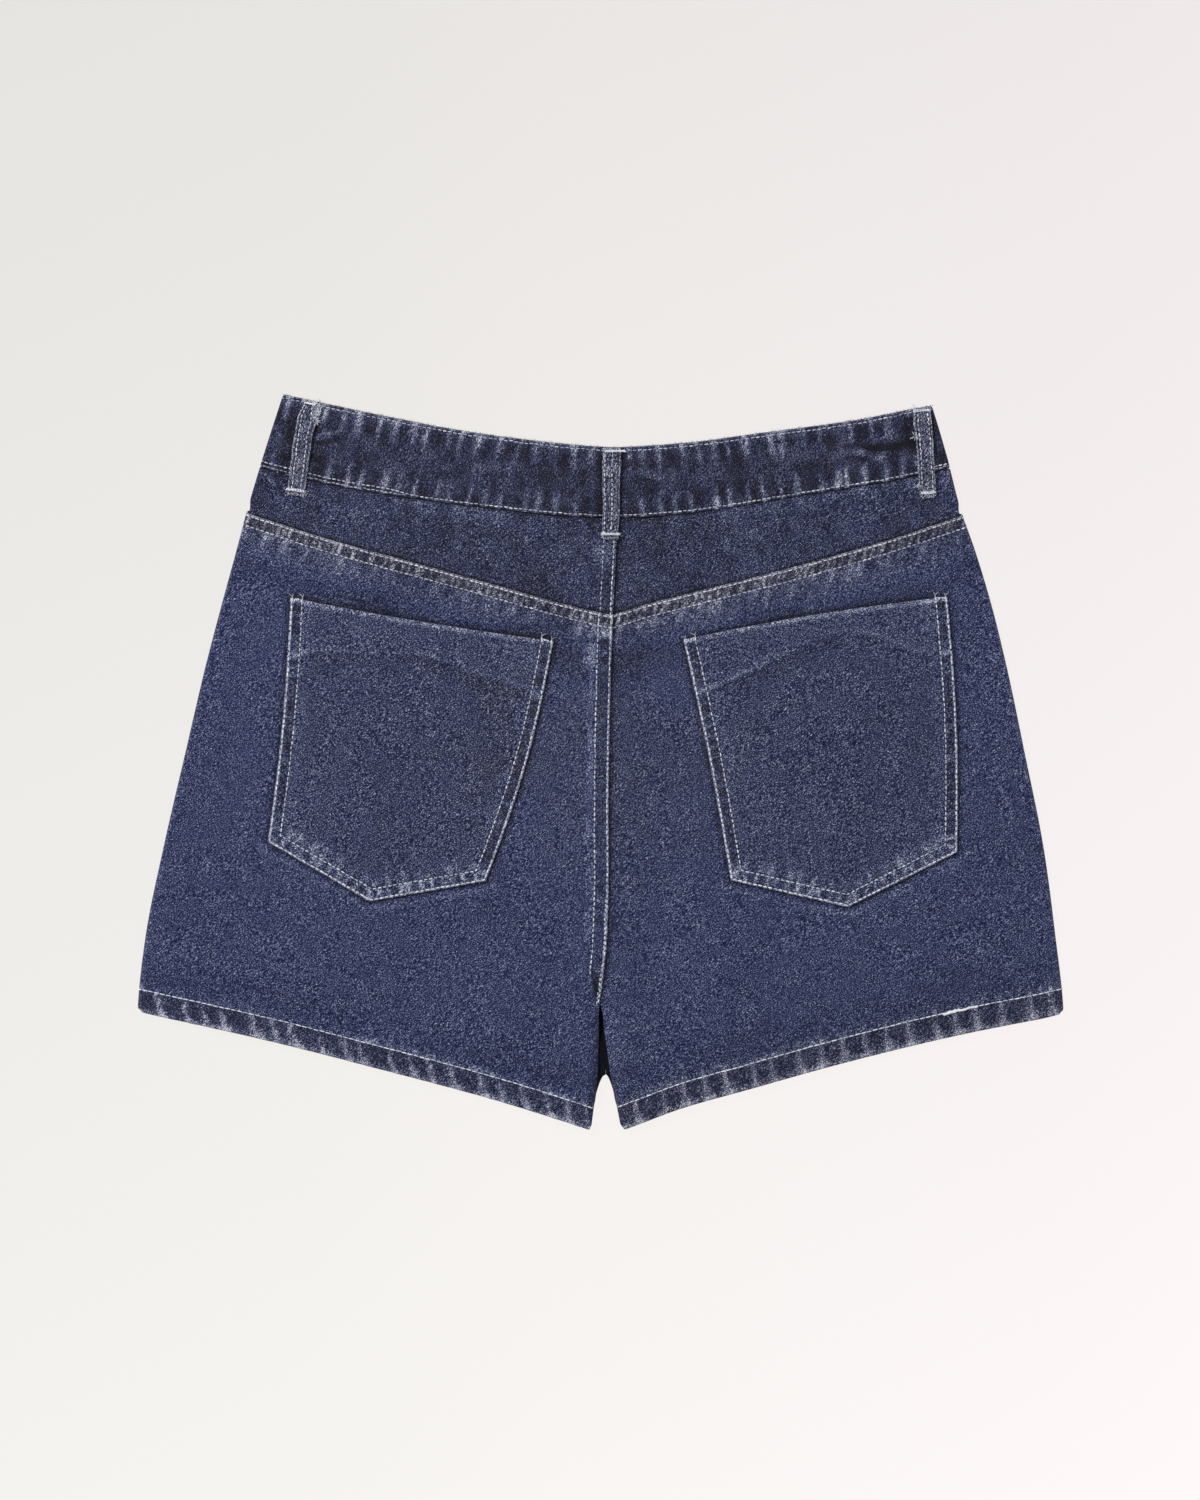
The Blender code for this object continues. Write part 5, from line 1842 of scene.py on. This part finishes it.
def sew_centre(thread, legs, yokes):
    """Both rows of the centre seam, and a third one for a stretch where the legs part."""
    ends = (RIGHT_CENTRE_ROW_END, LEFT_CENTRE_ROW_END)
    kinds = ("yoke_centre_edge", "yoke_centre_inner")
    for row, yoke_row, lowest, kind in zip(CENTRE_ROWS, YOKE_CENTRE_ROWS, ends, kinds):
        thread.sew(yokes[-1].column("inner", yoke_row), *STITCHES[kind])
        thread.sew(legs[-1].column("inner", row, lowest), *STITCHES["centre"])
    line = legs[-1].column("inner", CROTCH_ROW, ends[0] + 2 * MM, CROTCH_ROW_TOP)
    thread.sew(line, *STITCHES["crotch"])


def sew_hems(thread, legs, fronts):
    """A row round every hem."""
    for side, cloth in legs.items():
        thread.sew(cloth.row("hem", HEM_ROWS[side], 0, -2), *STITCHES["hem"])
    for (kind, _), cloth in fronts.items():
        thread.sew(cloth.row(EDGES_OF[kind], HEM_ROW), *STITCHES["front_hem"])


def sew_waistband(thread, band):
    """The row at the upper edge, and the one or two at the lower one, across the back."""
    def low_row(x):
        return edge_y("band_seam", x) + MM * (BAND_ROWS[1] + ROW_SPLIT * doubled(x))

    thread.sew(band.row("waist", -BAND_ROWS[0], 2, -2), *STITCHES["waist"])
    thread.sew(band.at_heights(band.back, low_row), *STITCHES["band_seam"])
    path, out = band.at_heights(band.back, lambda x: edge_y("band_seam", x) + LOW_BAND_ROW * MM)
    for part in (path[:, 0] < -107 * MM, path[:, 0] > 179 * MM):
        thread.sew((path[part], out[part]), *STITCHES["band_seam_low"])


def sew_skirt_laps(thread, fronts):
    """A row down each half of the skirt's lap."""
    for side in (-1, 1):
        line = fronts["skirt_front", side].column("centre", -FRONT_LAP / 2 / MM + LAP_ROW)
        thread.sew(line, *STITCHES["lap"])


def loose_threads(thread, legs, band):
    """The white thread that hangs on the right hem, and fibres where the cloth has frayed."""
    path, _ = legs[1].row("hem", HEM_ROWS[1])
    for start, end, radius, wave in ((190.5, 211, 0.66, 0.5), (191, 203, 0.58, 0.8)):
        points = []
        for k, x in enumerate(np.linspace(start, end, 9)):
            swing = wave * math.sin(1.9 * k + start) * (1 - 0.6 * k / 8)
            off = MM * np.array((0, swing - 0.2, 0.35 + 0.1 * (k % 2)))
            points.append(at_lengths(x * MM, path[:, 0], path) + off)
        thread.lay(points, radius, 1.0, 6)
    face, _ = band.line((slice(None), band.back))
    thread.fringe(face[2], (0, 1.0, 0.15), 900, 1.5, 0.18)
    thread.fringe(face[2], (0, 1.0, 0.25), 420, 1.3, 0.62)
    for word, share, spread, count in TUFTS:
        points, _ = back_loop_points(word)
        edge = -1 if word == "left" else 0
        place = points[int(share * (len(points) - 1)), edge] + (0, 0, 0.2 * MM)
        thread.tuft(place, count, 2.2, spread, 0.8, 0.13)


def button(material):
    """A plain shank button, face down: a rolled rim round a low domed face."""
    low, high = (np.array(corner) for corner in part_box("button"))
    centre = (low + high) / 2
    profile = BUTTON_PROFILE * ((high[0] - low[0]) / 2, high[2] - low[2])
    angle = 2 * math.pi * np.arange(BUTTON_STEPS) / BUTTON_STEPS
    radii, heights = profile[1:-1].T[..., None]
    rings = [radii * np.cos(angle), radii * np.sin(angle), heights + 0 * angle]
    rings = np.stack(rings, axis=2).reshape(-1, 3)
    points = np.concatenate([rings, [(0, 0, profile[0, 1]), (0, 0, profile[-1, 1])]])
    points += (centre[0], centre[1], low[2])
    number = np.arange(len(rings)).reshape(-1, BUTTON_STEPS)
    following = np.roll(number, -1, axis=1)
    corners = [number[:-1], number[1:], following[1:], following[:-1]]
    faces = np.stack(corners, axis=-1).reshape(-1, 4).tolist()
    top, bottom = len(rings), len(rings) + 1
    faces += [[top, a, b] for a, b in zip(number[0].tolist(), following[0].tolist())]
    faces += [[bottom, b, a] for a, b in zip(number[-1].tolist(), following[-1].tolist())]
    piece = make_piece("button_cap", points, faces, [material], "button_metal")
    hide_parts("button")


# ---------------------------------------------------------------- floor, light and camera

VIEW_CENTRE = (-0.0003, 0.0064)
VIEW_HEIGHT = 0.840  # of the garment's surroundings that the picture shows
VIEW_ASPECT = 0.8
CAMERA_HEIGHT = 4.0
FLOOR_SIZE = 6.0
FLOOR_GAP = 0.6 * MM
FLOOR_GLOW = 0.975
# The backdrop's colours at the picture's corners, left and right
BACKDROP = {"top": ((227, 226, 222), (238, 232, 232)), "low": ((243, 242, 238), (255, 249, 249))}
# The softboxes: place, power, size
LIGHTS = {"key": ((-1.5, 1.5, 2.2), 62, 0.9), "fill": ((1.8, -1.2, 2.4), 12, 2.0)}


def add_floor():
    """A pale floor that glows a little, so that it stays even right up to the cloth."""
    half = FLOOR_SIZE / 2
    corners = [(x, y, -FLOOR_GAP) for x, y in
               ((-half, -half), (half, -half), (half, half), (-half, half))]
    mesh = bpy.data.meshes.new("floor")
    mesh.from_pydata(corners, [], [(0, 1, 2, 3)])
    floor = new_object("floor", mesh)
    made = bpy.data.materials.new("floor")
    made.use_nodes = True
    tree = made.node_tree
    tree.nodes.remove(tree.nodes["Principled BSDF"])
    place = node(tree, "ShaderNodeTexCoord").outputs["Object"]
    axes = node(tree, "ShaderNodeSeparateXYZ", {"Vector": place}).outputs

    def share(axis, middle, size):
        inputs = {"Value": axes[axis], "From Min": middle - size / 2, "From Max": middle + size / 2}
        return node(tree, "ShaderNodeMapRange", inputs).outputs["Result"]

    right = share("X", VIEW_CENTRE[0], VIEW_HEIGHT * VIEW_ASPECT)
    up = share("Y", VIEW_CENTRE[1], VIEW_HEIGHT)
    low, top = (mixed(tree, right, *(linear(*c) for c in BACKDROP[row])) for row in ("low", "top"))
    inputs = {"Color": mixed(tree, up, low, top), "Strength": FLOOR_GLOW}
    glow = node(tree, "ShaderNodeEmission", inputs)
    matt = node(tree, "ShaderNodeBsdfDiffuse", {"Color": (0.03, 0.03, 0.03, 1)})
    both = node(tree, "ShaderNodeAddShader", {0: glow.outputs[0], 1: matt.outputs[0]})
    tree.links.new(both.outputs[0], tree.nodes["Material Output"].inputs["Surface"])
    mesh.materials.append(made)


def add_light(name, place, power, size):
    """A square softbox that looks at the garment."""
    lamp = bpy.data.lights.new(name, "AREA")
    lamp.shape = "SQUARE"
    lamp.size = size
    lamp.energy = power
    made = new_object(name, lamp)
    made.location = place
    made.rotation_mode = "QUATERNION"
    made.rotation_quaternion = made.location.to_track_quat("Z", "Y")


def add_studio():
    """Soft light from all round, as a pale studio gives it."""
    world = bpy.data.worlds.new("studio")
    world.use_nodes = True
    sky = world.node_tree.nodes["Background"].inputs
    sky["Color"].default_value = (0.97, 0.98, 1.0, 1)
    sky["Strength"].default_value = 0.42
    bpy.context.scene.world = world
    bpy.context.scene.view_settings.view_transform = "Standard"


def add_camera():
    """A camera that looks straight down on the garment."""
    lens = bpy.data.cameras.new("camera")
    lens.sensor_width = 36
    lens.lens = lens.sensor_width * CAMERA_HEIGHT / VIEW_HEIGHT
    lens.clip_end = 20
    camera = new_object("camera", lens)
    camera.location = (*VIEW_CENTRE, CAMERA_HEIGHT)
    bpy.context.scene.camera = camera


def thread_mesh(name, seed, material, *steps):
    """One mesh of thread, from steps that each add to it: a function and what it takes."""
    thread = Thread(seed)
    for step, *cloths in steps:
        step(thread, *cloths)
    thread.finish(name, material)


def main():
    """All pieces, and what they are shown on."""
    inside = inside_painted_shade()
    cloths = {kind: [denim(f"denim_{kind}", *look), inside] for kind, look in DENIMS.items()}
    thread = thread_material()

    legs = {side: back_leg(side, word, cloths["leg"]) for word, side in SIDES_OF.items()}
    yokes = {side: yoke(side, word, cloths["yoke"]) for word, side in SIDES_OF.items()}
    for word in POCKETS:
        pocket(word, cloths["pocket"])
    fronts = {
        (kind, side): front_panel(side, word, kind, cloths["leg"])
        for kind in EDGES_OF for word, side in SIDES_OF.items()
    }
    band = waistband(cloths["band"])

    steps = {
        "stitches_belt_loops": [(belt_loops, cloths["loop"])],
        "stitches_pockets": [(sew_pockets,)],
        "stitches_yoke_and_centre": [(sew_yoke, legs), (sew_centre, legs, yokes)],
        "stitches_hems": [(sew_hems, legs, fronts), (sew_skirt_laps, fronts)],
        "stitches_waistband": [(sew_waistband, band)],
        "loose_threads": [(loose_threads, legs, band)],
    }
    for seed, (name, sewn) in enumerate(steps.items(), 1):
        thread_mesh(name, seed, thread, *sewn)
    button(metal_material())

    add_floor()
    for name, light in LIGHTS.items():
        add_light(name, *light)
    add_studio()
    add_camera()


main()
